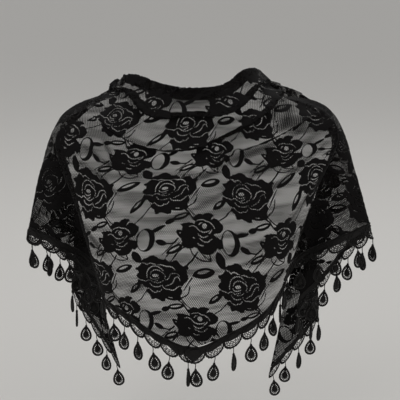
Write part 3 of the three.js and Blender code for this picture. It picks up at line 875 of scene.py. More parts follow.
# %% [markdown]
# ## One fabric, two densities
#
# In real lace the roses and the net are knitted together, one fabric that is closed in some
# places and open in others. So the cloth here is one mesh too. One repeat is cut into
# triangles that follow every outline, each triangle is dense or net, and copies of that
# repeat are laid side by side. A net with roses laid on top would look thicker than lace,
# and would shimmer where the two layers touch.

# %% The shapes that reach into one repeat, also from its neighbours
ROSE_IN_REPEAT = (0.5, 0.35)
NEAR_REPEAT = 0.02

lattice = np.array([REPEAT_ACROSS, REPEAT_DOWN])
repeat_corner = ROSE_AT["large"] - ROSE_IN_REPEAT[0] * REPEAT_ACROSS - ROSE_IN_REPEAT[1] * REPEAT_DOWN


def share_of_repeat(points):
    """Places in the repeat, from 0 to 1 across it and down it."""
    return (points - repeat_corner) @ np.linalg.inv(lattice)


def near_repeat(outline):
    """Whether an outline reaches into the repeat."""
    shares = share_of_repeat(outline)
    return (shares.max(axis=0) > -NEAR_REPEAT).all() and (shares.min(axis=0) < 1 + NEAR_REPEAT).all()


neighbours = [i * REPEAT_ACROSS + j * REPEAT_DOWN for i in (-1, 0, 1) for j in (-1, 0, 1)]
copies = [(outline + step, is_dense) for outline, is_dense in shapes for step in neighbours]
copies = [(outline, is_dense) for outline, is_dense in copies if near_repeat(outline)]
print(len(copies), "shapes reach into one repeat")

# %% Even points for the net, clear of every outline
NET_STEP = 3.7
CLEAR_OF_OUTLINE = 0.9

steps_across = round(np.linalg.norm(REPEAT_ACROSS) / NET_STEP)
steps_down = round(np.linalg.norm(REPEAT_DOWN) / NET_STEP)
outline_points = np.concatenate([outline for outline, _ in copies])
p, q = np.meshgrid(np.arange(steps_across + 1), np.arange(steps_down + 1), indexing="ij")
on_border = (p % steps_across == 0) | (q % steps_down == 0)
grid_across = (p / steps_across)[..., None] * REPEAT_ACROSS
grid_down = (q / steps_down)[..., None] * REPEAT_DOWN
grid_points = (repeat_corner + grid_across + grid_down).reshape(-1, 2)
gap_to_outline = np.array([np.hypot(*(outline_points - point).T).min() for point in grid_points])
grid_points = grid_points[on_border.ravel() | (gap_to_outline > CLEAR_OF_OUTLINE)]
print(len(grid_points), "points of net,", len(outline_points), "of outlines")

# %% Cut one repeat into triangles that keep every outline
SAME_PLACE = 1e-4

corners = repeat_corner + np.array([[0, 0], [1, 0], [1, 1], [0, 1]]) @ lattice
cdt_points = [corners, grid_points]
cdt_edges = [(0, 1), (1, 2), (2, 3), (3, 0)]
used = len(corners) + len(grid_points)
for outline, _ in copies:
    cdt_points.append(outline)
    count = len(outline)
    cdt_edges += [(used + k, used + (k + 1) % count) for k in range(count)]
    used += count
vectors = [Vector(point) for point in np.concatenate(cdt_points)]
cut = delaunay_2d_cdt(vectors, cdt_edges, [], 0, SAME_PLACE, False)
repeat_points = np.array([tuple(point) for point in cut[0]])
repeat_triangles = np.array(cut[2])
middles = repeat_points[repeat_triangles].mean(axis=1)
shares = share_of_repeat(middles)
in_repeat = (shares > 0).all(axis=1) & (shares < 1).all(axis=1)
repeat_triangles, middles = repeat_triangles[in_repeat], middles[in_repeat]
print(len(repeat_triangles), "triangles in one repeat")


# %% Tell dense ground from net
def inside(points, outline):
    """Which points lie inside a closed outline."""
    x, y = points[:, :1], points[:, 1:]
    ax, ay = outline[:, 0], outline[:, 1]
    bx, by = np.roll(ax, -1), np.roll(ay, -1)
    rise = np.where(by == ay, 1e-9, by - ay)
    crossed = ((ay > y) != (by > y)) & (x < ax + (y - ay) * (bx - ax) / rise)
    return crossed.sum(axis=1) % 2 == 1


repeat_dense = np.zeros(len(repeat_triangles), bool)
for outline, is_dense in copies:
    repeat_dense[inside(middles, outline)] = is_dense
print(round(100 * repeat_dense.mean()), "% of the triangles are dense")


# %% Lay repeats over the whole flat cloth
def used_only(points, triangles):
    """The points that triangles use, and the triangles numbered for them."""
    used, index = np.unique(triangles, return_inverse=True)
    return points[used], index.reshape(-1, 3)


border = np.concatenate([flat[0, :-1], flat[:-1, -1], flat[-1, :0:-1], flat[:0:-1, 0]])
border_shares = share_of_repeat(border)
first = np.floor(border_shares.min(axis=0)).astype(int)
last = np.ceil(border_shares.max(axis=0)).astype(int)
repeat_points, repeat_triangles = used_only(repeat_points, repeat_triangles)
lace_points, lace_triangles, lace_dense = [], [], []
count = 0
for i in range(first[0] - 1, last[0] + 1):
    for j in range(first[1] - 1, last[1] + 1):
        points = pulled(repeat_points + i * REPEAT_ACROSS + j * REPEAT_DOWN)
        within = inside(points, border)
        kept = within[repeat_triangles].any(axis=1)
        if kept.any():
            lace_points.append(points)
            lace_triangles.append(repeat_triangles[kept] + count)
            lace_dense.append(repeat_dense[kept])
            count += len(points)
lace_points, lace_triangles = np.concatenate(lace_points), np.concatenate(lace_triangles)
lace_dense = np.concatenate(lace_dense)
print(len(lace_triangles), "triangles of lace")

# %% Join neighbouring repeats at the points on their common border
SAME_POINT = 0.02

rounded_off = np.round(lace_points / SAME_POINT)
_, first_of, same = np.unique(rounded_off, axis=0, return_index=True, return_inverse=True)
lace_points, lace_triangles = used_only(lace_points[first_of], same.ravel()[lace_triangles])
print(len(lace_points), "points of lace")

# %% [markdown]
# ## From the flat cloth to the drape
#
# The flat pattern and the drape have the same grid, so a flat place has a place in that
# grid, and the grid says where it lies in space. Blender's tree of faces finds the pattern
# triangle under each point of the lace quickly. A modifier could bend a flat mesh as well,
# but it would not say which way the cloth faces, which the relief of the roses needs.

# %% Find flat places in the grid of the drape
pattern_triangles = np.concatenate([pattern_faces[:, [0, 1, 2]], pattern_faces[:, [0, 2, 3]]])
flat_points = flat.reshape(-1, 2)
flat_tree = BVHTree.FromPolygons(
    [(x, y, 0) for x, y in flat_points.tolist()], pattern_triangles.tolist(), all_triangles=True
)
quads_across = pattern_rows - 1


def cloth_place(points):
    """Place in the drape's own grid of flat points; those off the cloth go to its edge."""
    found = [flat_tree.find_nearest((x, y, 0)) for x, y in points.tolist()]
    nearest = np.array([tuple(hit[0])[:2] for hit in found])
    triangle = np.array([hit[2] for hit in found])
    a, b, c = (flat_points[pattern_triangles[triangle, k]] for k in range(3))
    area = np.cross(b - a, c - a)
    weight_b = np.cross(nearest - a, c - a) / area
    weight_c = np.cross(b - a, nearest - a) / area
    quad = triangle % len(pattern_faces)
    lower = triangle < len(pattern_faces)
    i = quad // quads_across + np.where(lower, weight_c, weight_b + weight_c)
    j = quad % quads_across + np.where(lower, weight_b + weight_c, weight_b)
    return nearest, np.stack([i, j], axis=1) * PATTERN_STEP


lace_flat, lace_place = cloth_place(lace_points)
print("points moved by", round(np.abs(lace_flat - lace_points).max(), 1), "mm at most to stay on the cloth")

# %% Carry the lace onto the drape
JUST_INSIDE = 1.000001


def on_grid(grid, place):
    """Values of a drape grid at places between its points."""
    limit = np.array(grid.shape[:2]) - JUST_INSIDE
    place = np.clip(place, 0, limit)
    k = place.astype(int)
    s, t = (place - k).T[:, :, None]
    i, j = k.T
    above = grid[i, j] * (1 - s) + grid[i + 1, j] * s
    below = grid[i, j + 1] * (1 - s) + grid[i + 1, j + 1] * s
    return above * (1 - t) + below * t


lace_vertices = on_grid(draped, lace_place)
lace_out = on_grid(out_at, lace_place)
print("lace box", lace_vertices.min(0).round(), lace_vertices.max(0).round())

# %% The dense ground is knitted thicker, so it stands a little proud of the net
RELIEF = 0.35

touches_net = np.zeros(len(lace_points), bool)
touches_net[lace_triangles[~lace_dense].ravel()] = True
lace_vertices = lace_vertices + np.where(touches_net, 0, RELIEF)[:, None] * lace_out
print("dense ground stands", RELIEF, "mm proud at", (~touches_net).sum(), "points")

# %% The lace as one mesh, with its flat places, how far it is drawn together and how much painted shade it gets
NO_AREA = 1e-3
UV_PER_MM = 0.01

edges_ab = lace_vertices[lace_triangles[:, 1]] - lace_vertices[lace_triangles[:, 0]]
edges_ac = lace_vertices[lace_triangles[:, 2]] - lace_vertices[lace_triangles[:, 0]]
has_area = np.linalg.norm(np.cross(edges_ab, edges_ac), axis=1) > NO_AREA
lace_triangles, lace_dense = lace_triangles[has_area], lace_dense[has_area]
lace = new_mesh_object("rose_lace", lace_vertices, lace_triangles)
corner_places = lace_flat[lace_triangles.ravel()] * UV_PER_MM
flat_uv = lace.data.uv_layers.new(name="flat_cloth")
flat_uv.data.foreach_set("uv", corner_places.astype(np.float32).ravel())
lace.data.polygons.foreach_set("material_index", lace_dense.astype(np.int32))
# The value on each point holds the painted shade below the creases and the gathering of the tails
gathered_and_shade_here = on_grid(gathered_and_painted_shade[..., None], lace_place)[:, 0]
gathered_and_shade_at = lace.data.attributes.new("gathered_and_painted_shade", "FLOAT", "POINT")
gathered_and_shade_at.data.foreach_set("value", gathered_and_shade_here.astype(np.float32))
print("rose_lace:", len(lace.data.vertices), "points,", len(lace.data.polygons), "faces")

# %% [markdown]
# ## The corded edging
#
# Guipure edging is embroidered in thick cord on a ground that is dissolved afterwards, so
# that only cords, bars and picots are left. It is sewn over the hem as a row of oval
# medallions, and a small drop hangs from each one. Here every cord is a tube drawn on a
# flat strip, and the strip is then bent along the hem, as a sewer bends the real tape.

# %% The hem, and the ways down and out from it
HEM_ROWS = 30
HEM_SMOOTHING = 9

hem_line = draped[:, -1]
hem_reach = distances(hem_line)


def smoothed(values):
    """Directions averaged with their neighbours along the hem."""
    padded = np.pad(values, ((HEM_SMOOTHING, HEM_SMOOTHING), (0, 0)), mode="edge")
    total = sum(padded[k:k + len(values)] for k in range(2 * HEM_SMOOTHING + 1))
    return total / np.linalg.norm(total, axis=1)[:, None]


hem_down = smoothed(hem_line - draped[:, -1 - HEM_ROWS])
hem_across = smoothed(np.gradient(hem_line, axis=0))
hem_out = smoothed(np.cross(hem_down, hem_across))


def at_hem(values, reach):
    """Values of the hem's own points at distances along it."""
    return np.stack([np.interp(reach, hem_reach, values[:, k]) for k in range(3)], axis=1)


def on_strip(points):
    """Where points of the flat strip lie: along the hem, down from it and out of it."""
    reach, depth, height = np.asarray(points, float).T
    start, down, out = (at_hem(values, reach) for values in (hem_line, hem_down, hem_out))
    return start + depth[:, None] * down + height[:, None] * out


hem_middle = np.interp(hem_knots[front_centre], across, hem_reach)
print("hem", round(hem_reach[-1]), "mm along the cloth, its point at", round(hem_middle), "mm")


# %% A round cord, drawn flat
def cord(line, radius, sides=6, closed=False):
    """A round cord along a line drawn flat, with closed ends: its points and triangles."""
    line = np.array([tuple(point) + (0,) * (3 - len(point)) for point in line], float)
    way = np.roll(line, -1, axis=0) - np.roll(line, 1, axis=0) if closed else np.gradient(line, axis=0)
    way /= np.linalg.norm(way, axis=1)[:, None]
    side = np.cross(way, (0, 0, 1))
    side /= np.linalg.norm(side, axis=1)[:, None]
    up = np.cross(side, way)
    radius = np.broadcast_to(radius, len(line))[:, None, None]
    turn = np.linspace(0, 2 * math.pi, sides, endpoint=False)[None, :, None]
    rings = line[:, None] + radius * (np.cos(turn) * side[:, None] + np.sin(turn) * up[:, None])
    i, j = np.meshgrid(np.arange(len(line) if closed else len(line) - 1), np.arange(sides), indexing="ij")
    i, j = i.ravel(), j.ravel()
    next_i, next_j = (i + 1) % len(line), (j + 1) % sides
    a, b, c, d = i * sides + j, next_i * sides + j, next_i * sides + next_j, i * sides + next_j
    triangles = [np.stack([a, b, c], axis=1), np.stack([a, c, d], axis=1)]
    if not closed:
        fan = np.array([(0, k + 1, k + 2) for k in range(sides - 2)])
        triangles += [fan, (fan + (len(line) - 1) * sides)[:, ::-1]]
    return rings.reshape(-1, 3), np.concatenate(triangles)


# %% A pad with a domed front and back, drawn flat
PAD_RINGS = [dict(scale=0.86, rise=0.62), dict(scale=0.5, rise=0.92)]


def pad(outline, thickness):
    """A solid pad inside a closed outline: its points and triangles."""
    outline = np.asarray(outline, float)
    middle, count = outline.mean(axis=0), len(outline)
    points = [np.column_stack([outline, np.zeros(count)])]
    triangles = []
    k = np.arange(count)
    next_k = (k + 1) % count
    for face in (1, -1):
        rings = [0]
        for ring in PAD_RINGS:
            rings.append(sum(map(len, points)))
            height = np.full(count, face * ring["rise"] * thickness / 2)
            points.append(np.column_stack([middle + (outline - middle) * ring["scale"], height]))
        top = np.full(count, sum(map(len, points)))
        points.append([(*middle, face * thickness / 2)])
        for a, b in zip(rings, rings[1:]):
            triangles.append(np.stack([a + k, a + next_k, b + next_k], axis=1)[:, ::face])
            triangles.append(np.stack([a + k, b + next_k, b + k], axis=1)[:, ::face])
        triangles.append(np.stack([rings[-1] + k, rings[-1] + next_k, top], axis=1)[:, ::face])
    return np.concatenate(points), np.concatenate(triangles)


def joined(parts):
    """Many parts as one list of points and one of triangles."""
    starts_at = np.cumsum([0] + [len(points) for points, _ in parts[:-1]])
    points = np.concatenate([points for points, _ in parts])
    return points, np.concatenate([triangles + start for (_, triangles), start in zip(parts, starts_at)])


# %% [markdown]
# ### A medallion
#
# Its lower half hangs below the band as an open scallop, and its upper half lies on the
# band. A thick cord goes round it, thinner cords ring it inside, slanting bars join them,
# and little loops called picots stand along its lower edge. The real filling is finer than
# the picture can show, so it has fewer rings and bars here.

# %% The size of the tape and of one medallion
SCALLOPS_PER_SIDE = 27
BAND_DEPTH = 11
SCALLOP_DEPTH = 13
TAPES_OVERLAP = 9
RIM_RADIUS = 1.4
MEDALLION_SPACE = 0.4
MEDALLION_MIDDLE = 11

pitch = (hem_reach[-1] / 2 + TAPES_OVERLAP) / SCALLOPS_PER_SIDE
medallion_half_width = pitch / 2 - MEDALLION_SPACE
medallion_half_height = BAND_DEPTH + SCALLOP_DEPTH - MEDALLION_MIDDLE - RIM_RADIUS
print("a medallion every", round(pitch, 1), "mm")


# %% Points round a medallion, and a cord round each of its edges
def medallion_arc(share, start, end, count, height=0.0):
    """Points round the medallion between two angles; 90 degrees is straight down."""
    angle = np.radians(np.linspace(start, end, count))
    return np.stack([
        share * medallion_half_width * np.cos(angle),
        MEDALLION_MIDDLE + share * medallion_half_height * np.sin(angle),
        np.full(count, height),
    ], axis=1)


def medallion_point(share, angle):
    return medallion_arc(share, angle, angle, 1)[0]


EDGE_CORDS = [
    dict(share=1, start=-8, end=188, count=25, height=0, radius=RIM_RADIUS, sides=6),
    dict(share=0.98, start=188, end=352, count=17, height=0.9, radius=0.55, sides=5),
    dict(share=0.66, start=195, end=345, count=11, height=0.9, radius=0.45, sides=4),
]

medallion = []
for row in EDGE_CORDS:
    arc = medallion_arc(row["share"], row["start"], row["end"], row["count"], row["height"])
    medallion.append(cord(arc, row["radius"], row["sides"]))
print(len(medallion), "cords round its edge and on the band")

# %% Its inner rings, with bars that lean to and fro
INNER_RINGS = [dict(share=0.3, bars=8), dict(share=0.53, bars=11), dict(share=0.76, bars=15)]
INNER_CORD_RADIUS = 0.5
BAR_RADIUS = 0.45
BAR_LEAN = 60

for ring, outer in zip(INNER_RINGS, [row["share"] for row in INNER_RINGS[1:]] + [1]):
    bars = ring["bars"]
    arc = medallion_arc(ring["share"], -6, 186, bars + 2)
    medallion.append(cord(arc, INNER_CORD_RADIUS, sides=4))
    for k in range(bars):
        angle = 180 * (k + 0.5) / bars
        lean = BAR_LEAN / bars * (1 if k % 2 else -1)
        ends = [medallion_point(ring["share"], angle), medallion_point(outer, angle + lean)]
        medallion.append(cord(ends, BAR_RADIUS, sides=4))
print(len(medallion), "cords with rings and bars")

# %% Its picots
PICOTS = 9
PICOTS_OUT = 1.07
PICOT_RADIUS = 0.9
PICOT_CORD_RADIUS = 0.32

turn = np.linspace(0, 2 * math.pi, 6, endpoint=False)
picot = PICOT_RADIUS * np.stack([np.cos(turn), np.sin(turn)], axis=1)
for angle in np.linspace(12, 168, PICOTS):
    loop = medallion_point(PICOTS_OUT, angle)[:2] + picot
    medallion.append(cord(loop, PICOT_CORD_RADIUS, sides=4, closed=True))
medallion_points, medallion_triangles = joined(medallion)
print("one medallion", len(medallion_triangles), "triangles")

# %% [markdown]
# ### A drop
#
# A twisted cord is bent to a teardrop round a padded heart, bars join the two, and a knot
# and a short thread lie above. A flat shape with holes would look right from the front
# alone. Round cords look right from every side.

# %% The line of a teardrop
THREAD_LENGTH = 9
DROP_WIDTH = 18
DROP_HEIGHT = 25
DROP_MIDDLE = 0.56
DROP_SWELL = 0.8
DROP_RIM_RADIUS = 1.55


def teardrop(share, count):
    """Points of a teardrop about its middle, smaller by a share of its size."""
    turn = np.linspace(0, 2 * math.pi, count, endpoint=False) + math.pi / count
    swell = np.sin(turn / 2) ** DROP_SWELL
    widest = np.abs(np.sin(turn) * swell).max()
    x = np.sin(turn) * swell / widest * (DROP_WIDTH / 2 - DROP_RIM_RADIUS) * share
    down = (1 - np.cos(turn)) / 2 - DROP_MIDDLE
    middle = THREAD_LENGTH + DROP_HEIGHT * DROP_MIDDLE
    return np.stack([x, middle + down * (DROP_HEIGHT - 2 * DROP_RIM_RADIUS) * share], axis=1)


# %% Its rim, heart and bars
DROP_RIM_STEPS = 32
DROP_CORD_TWIST = 0.1
HEART_SHARE = 0.5
HEART_STEPS = 16
HEART_THICKNESS = 2.4
HEART_RING_SHARE = 0.56
HEART_RING_STEPS = 20
HEART_RING_RADIUS = 0.55
DROP_BARS = 18
DROP_BARS_TO = 0.97
DROP_BAR_RADIUS = 0.64

rim_swell = DROP_RIM_RADIUS + DROP_CORD_TWIST * np.cos(np.arange(DROP_RIM_STEPS) * math.pi)
drop = [cord(teardrop(1, DROP_RIM_STEPS), rim_swell, closed=True)]
drop.append(pad(teardrop(HEART_SHARE, HEART_STEPS), HEART_THICKNESS))
heart_ring = teardrop(HEART_RING_SHARE, HEART_RING_STEPS)
drop.append(cord(heart_ring, HEART_RING_RADIUS, sides=5, closed=True))
for bar in zip(teardrop(HEART_RING_SHARE, DROP_BARS), teardrop(DROP_BARS_TO, DROP_BARS)):
    drop.append(cord(bar, DROP_BAR_RADIUS, sides=5))
print(len(drop), "parts in its rim, heart and bars")

# %% Its knot and its thread
THREAD_RADIUS = 0.62
THREAD_SWAY = 0.5
THREAD_SWAY_RATE = 4
THREAD_INTO_RIM = 1.2
KNOT_RADIUS = 1.9
KNOT_LENGTH = 5.5
KNOT_ABOVE_DROP = 1.5

along_knot = np.linspace(0, 1, 7)
knot_line = [(0, THREAD_LENGTH - KNOT_ABOVE_DROP + KNOT_LENGTH * t) for t in along_knot]
knot_radius = THREAD_RADIUS + (KNOT_RADIUS - THREAD_RADIUS) * np.sin(math.pi * along_knot) ** 0.7
drop.append(cord(knot_line, knot_radius, sides=7))
thread_line = [
    (THREAD_SWAY * math.sin(THREAD_SWAY_RATE * t), THREAD_LENGTH * t - THREAD_INTO_RIM)
    for t in np.linspace(0, 1, 8)
]
drop.append(cord(thread_line, THREAD_RADIUS, sides=5))
drop_points, drop_triangles = joined(drop)
print("one drop", len(drop_triangles), "triangles")

# %% [markdown]
# ### The band
#
# The top of the tape is embroidered dense, and the medallions are worked onto it. Its lower
# edge waves from scallop to scallop, and it is deeper at the point of the scarf, where the
# two tapes cross. A flat sheet would do from afar, but a thin solid has real edges.

# %% The band of one tape
SEAM_GAP = 0.3
BAND_THICKNESS = 0.9
BAND_ROWS = 4
BAND_SHALLOWER = 1.5
BAND_WAVE = 2.5
BAND_STEPS_PER_SCALLOP = 8
POINT_BAND_EXTRA = 8
POINT_BAND_REACH = 22


def band(start, end):
    """Points and triangles of the band between two places along the hem, drawn flat."""
    reach = np.linspace(start, end, BAND_STEPS_PER_SCALLOP * SCALLOPS_PER_SIDE + 1)
    wave = np.abs(np.sin(math.pi * (reach - start) / pitch))
    deepest = BAND_DEPTH - BAND_SHALLOWER + BAND_WAVE * wave
    deepest += POINT_BAND_EXTRA * np.exp(-(((reach - hem_middle) / POINT_BAND_REACH) ** 2)) * wave
    depth = SEAM_GAP + np.linspace(0, 1, BAND_ROWS)[None] * (deepest[:, None] - SEAM_GAP)
    reach = np.broadcast_to(reach[:, None], depth.shape)
    layers = [
        np.stack([reach, depth, np.full(depth.shape, height)], axis=2).reshape(-1, 3)
        for height in (BAND_THICKNESS / 2, -BAND_THICKNESS / 2)
    ]
    columns, rows = depth.shape
    count = columns * rows
    rim = [k * rows for k in range(columns)] + [count - rows + k for k in range(1, rows)]
    rim += [k * rows + rows - 1 for k in range(columns - 2, -1, -1)] + list(range(rows - 2, 0, -1))
    rim_quads = np.array([(a, a + count, b + count, b) for a, b in zip(rim, rim[1:] + rim[:1])])
    quads = grid_faces(columns, rows)
    quads = np.concatenate([quads, quads[:, ::-1] + count, rim_quads])
    triangles = np.concatenate([quads[:, [0, 1, 2]], quads[:, [0, 2, 3]]])
    return np.concatenate(layers), triangles


# %% [markdown]
# ### Sewn along the hem
#
# One tape runs along each short side, and at the point one crosses over the other. The
# drops don't follow the tape: each hangs straight down, a little turned and swung on its
# thread. Random angles would do, but a short list that repeats can be read and changed.

# %% Sew the edging along both short sides
# Radians about its thread and degrees to one side, for one drop after another
DROP_TWISTS = [1.45, 0.1, 0.3, -0.2, 0.15, 0.9, -0.35, 0.05, 1.3, 0.4, -0.1]
DROP_LEANS = [4, -6, 7, 2, -3]
OVERLAP_LIFT = 2.6


def hung(reach, twist, lean):
    """Points of a drop that hangs straight down from the hem at this reach."""
    top = on_strip([(reach, BAND_DEPTH + SCALLOP_DEPTH, 0)])[0]
    across_there = at_hem(hem_across, [reach])[0]
    facing = math.atan2(across_there[1], across_there[0]) + twist
    side = np.array([math.cos(facing), math.sin(facing), 0])
    out = np.array([math.sin(facing), -math.cos(facing), 0])
    x, depth, height = drop_points.T[..., None]
    tilt = math.radians(lean)
    swung_x = x * math.cos(tilt) + depth * math.sin(tilt)
    swung_depth = depth * math.cos(tilt) - x * math.sin(tilt)
    return top + swung_x * side - swung_depth * np.array([0, 0, 1]) + height * out


def sewn(points, over):
    """Points of the tape in place; the tape that lies over is lifted where the two cross."""
    points = np.array(points)
    if over:
        away = np.abs(points[:, 0] - hem_middle) / (2 * TAPES_OVERLAP)
        points[:, 2] += OVERLAP_LIFT * np.clip(2 - away, 0, 1)
    return on_strip(points)


def edging(name, start, end, over):
    """One tape with its medallions and drops, between two places along the hem."""
    band_points, band_triangles = band(start, end)
    parts = [(sewn(band_points, over), band_triangles)]
    for n in range(SCALLOPS_PER_SIDE):
        from_point = SCALLOPS_PER_SIDE - 1 - n if end < hem_reach[-1] else n
        reach = start + (end - start) * (n + 0.5) / SCALLOPS_PER_SIDE
        parts.append((sewn(medallion_points + (reach, 0, 0), over), medallion_triangles))
        lean = DROP_LEANS[from_point % len(DROP_LEANS)]
        twist = DROP_TWISTS[(from_point + 3 * over) % len(DROP_TWISTS)]
        parts.append((hung(reach, twist, lean), drop_triangles))
    made = new_mesh_object(name, *joined(parts))
    print(name, len(made.data.polygons), "triangles")
    return made


edging_left = edging("corded_edging_left", 0, hem_middle + TAPES_OVERLAP, over=False)
edging_right = edging("corded_edging_right", hem_middle - TAPES_OVERLAP, hem_reach[-1], over=True)

# %% [markdown]
# ## Materials
#
# The scarf is black polyester throughout: knitted as net, knitted dense, and twisted into
# embroidery cord. Each material starts from typical values of the fibre, an IOR of 1.54 and
# a soft, low shine. Its colours are the hex values that a screen would show.

# %% Nodes and colours
def linear(hex_colour):
    """Linear colour from sRGB hex."""
    channels = [int(hex_colour[k:k + 2], 16) / 255 for k in (1, 3, 5)]
    return tuple(c / 12.92 if c <= 0.04045 else ((c + 0.055) / 1.055) ** 2.4 for c in channels) + (1,)


def add_node(material, kind, inputs=(), **settings):
    """Adds one node with its settings; an input is a plain value or another node's output."""
    tree = material.node_tree
    made = tree.nodes.new(kind)
    for name, value in settings.items():
        setattr(made, name, value)
    for socket, value in dict(inputs).items():
        if isinstance(value, bpy.types.NodeSocket):
            tree.links.new(value, made.inputs[socket])
        else:
            made.inputs[socket].default_value = value
    return made


def new_material(name):
    """A material and its Principled shader."""
    made = bpy.data.materials.new(name)
    made.use_nodes = True
    return made, made.node_tree.nodes["Principled BSDF"]


def flat_place(material):
    """The place on the flat cloth in millimetres, as a vector and as separate x and y."""
    place = add_node(material, "ShaderNodeVectorMath", {
        0: add_node(material, "ShaderNodeUVMap", uv_map="flat_cloth").outputs["UV"],
        1: (1 / UV_PER_MM,) * 3,
    }, operation="MULTIPLY").outputs["Vector"]
    return place, add_node(material, "ShaderNodeSeparateXYZ", {0: place}).outputs


# %% [markdown]
# ### Polyester net, warp-knitted
#
# Net is thread with mostly air between, so it half covers what is behind it. Modelling
# every thread would take millions of triangles. So the threads are drawn in the material,
# as two sets of slanting lines on the flat cloth that set how much light is let through.
# A real mesh is about 0.9 mm wide, too fine for the picture, so it is drawn 2.6 mm wide.

# %% Net: two sets of slanting threads
NET_MESH = 2.6
NET_SLANT = 0.62
THREAD_FROM = 0.22
THREAD_TO = 0.36
NET_COVER_OPEN = 0.33
NET_COVER_THREAD = 0.86

net, shader = new_material("polyester_net_warp_knitted")
shader.inputs["Base Color"].default_value = linear("#0d0b0a")
shader.inputs["Roughness"].default_value = 0.7
shader.inputs["IOR"].default_value = 1.54
shader.inputs["Specular IOR Level"].default_value = 0.06
cloth_mm, flat_mm = flat_place(net)
threads = []
for slant in (NET_SLANT, -NET_SLANT):
    leaning = add_node(net, "ShaderNodeMath", {
        0: flat_mm["Y"], 1: slant, 2: flat_mm["X"],
    }, operation="MULTIPLY_ADD")
    wave = add_node(net, "ShaderNodeMath", {
        0: leaning.outputs["Value"], 1: NET_MESH / 2,
    }, operation="PINGPONG")
    threads.append(add_node(net, "ShaderNodeMapRange", {
        "Value": wave.outputs["Value"],
        "From Min": NET_MESH * THREAD_FROM, "From Max": NET_MESH * THREAD_TO,
    }).outputs["Result"])
either = add_node(net, "ShaderNodeMath", {0: threads[0], 1: threads[1]}, operation="MAXIMUM")
cover = add_node(net, "ShaderNodeMapRange", {
    "Value": either.outputs["Value"], "To Min": NET_COVER_OPEN, "To Max": NET_COVER_THREAD,
})
print("threads every", NET_MESH, "mm, covering", NET_COVER_OPEN, "to", NET_COVER_THREAD)

# %% Net: its meshes open and close in streaks of painted light and shade, close in painted shade below the creases, and close where the tails are drawn together
SHADE_STREAK_TURN = math.radians(-24)
SHADE_STREAKS_PER_MM = (0.012, 0.075, 1)
GATHERED_AND_SHADE_COVER = 0.3

# Painted light and shade: random slanting streaks of thinner and denser net stand for soft wrinkles
creases = add_node(net, "ShaderNodeTexNoise", {
    "Vector": add_node(net, "ShaderNodeMapping", {
        "Vector": cloth_mm, "Rotation": (0, 0, SHADE_STREAK_TURN), "Scale": SHADE_STREAKS_PER_MM,
    }).outputs["Vector"],
    "Scale": 1.0, "Detail": 3.0,
})
streak_shading = add_node(net, "ShaderNodeMapRange", {
    "Value": creases.outputs["Fac"],
    "From Min": 0.38, "From Max": 0.62, "To Min": -0.1, "To Max": 0.16,
})
soft = add_node(net, "ShaderNodeMath", {
    0: cover.outputs["Result"], 1: streak_shading.outputs["Result"],
}, operation="ADD")
# Painted shade below the creases, and the real gathering of the tails, close the net further
drawn_in_and_shaded = add_node(net, "ShaderNodeAttribute", attribute_name="gathered_and_painted_shade")
covering = add_node(net, "ShaderNodeMath", {
    0: drawn_in_and_shaded.outputs["Fac"], 1: GATHERED_AND_SHADE_COVER, 2: soft.outputs["Value"],
}, operation="MULTIPLY_ADD", use_clamp=True)
net.node_tree.links.new(covering.outputs["Value"], shader.inputs["Alpha"])
lace.data.materials.append(net)
print(len(net.node_tree.nodes), "nodes make the net")

# %% [markdown]
# ### Polyester lace, knitted dense
#
# The roses are the same thread knitted close, in rows of loops that catch a little light. The
# crest of each row is also painted lighter, as a painted highlight, with some random tone.
# Their relief is too shallow to model, so it is a bump. Real rows lie 0.6 mm apart; they
# are drawn 1.4 mm apart so that they show.

# %% Dense lace: bent rows of loops
ROW_PITCH = 1.4
ROW_BEND = 6.0
ROW_HEIGHT = 0.8

dense_lace, shader = new_material("polyester_lace_knitted_dense")
shader.inputs["Roughness"].default_value = 0.7
shader.inputs["IOR"].default_value = 1.54
shader.inputs["Specular IOR Level"].default_value = 0.06
cloth_mm, flat_mm = flat_place(dense_lace)
cloudy = add_node(dense_lace, "ShaderNodeTexNoise", {
    "Vector": cloth_mm, "Scale": 0.16, "Detail": 3.0,
})
bent_row = add_node(dense_lace, "ShaderNodeMath", {
    0: cloudy.outputs["Fac"], 1: ROW_BEND, 2: flat_mm["Y"],
}, operation="MULTIPLY_ADD")
rows = add_node(dense_lace, "ShaderNodeMath", {
    0: bent_row.outputs["Value"], 1: ROW_PITCH / 2,
}, operation="PINGPONG")
loops = add_node(dense_lace, "ShaderNodeTexNoise", {
    "Vector": cloth_mm, "Scale": 1.1, "Detail": 2.0,
})
height = add_node(dense_lace, "ShaderNodeMath", {
    0: rows.outputs["Value"], 1: ROW_HEIGHT, 2: loops.outputs["Fac"],
}, operation="MULTIPLY_ADD")
print("rows every", ROW_PITCH, "mm")

# %% Dense lace: its relief, and a painted highlight on the crest of each row
bump = add_node(dense_lace, "ShaderNodeBump", {
    "Height": height.outputs["Value"], "Strength": 0.35, "Distance": 0.0004,
})
# Painted highlight: the higher the knitted relief, the lighter the thread, so row crests and random loops
# show lighter
crest_highlight = add_node(dense_lace, "ShaderNodeMapRange", {
    "Value": height.outputs["Value"], "From Min": 0.3, "From Max": 1.2,
})
colour = add_node(dense_lace, "ShaderNodeMix", {
    "Factor": crest_highlight.outputs["Result"], "A": linear("#060606"), "B": linear("#141212"),
}, data_type="RGBA")
dense_lace.node_tree.links.new(bump.outputs["Normal"], shader.inputs["Normal"])
dense_lace.node_tree.links.new(colour.outputs["Result"], shader.inputs["Base Color"])
lace.data.materials.append(dense_lace)
print(len(dense_lace.node_tree.nodes), "nodes make the dense lace")

# %% [markdown]
# ### Polyester cord, embroidered
#
# Embroidery cord is tightly twisted, so it has a soft light along each turn; here that light
# is partly a painted highlight, lighter colour on the crest of each turn. Modelled strands
# would take many times the triangles, and a wave that slants across the cord looks the same
# at this size. Real cord is twisted every 0.8 mm; the turns are drawn 1.3 mm apart so that
# they show.

# %% Cord: slanting turns
TWIST_PITCH = 1.3
WAVE_AT_SCALE_ONE = 0.314

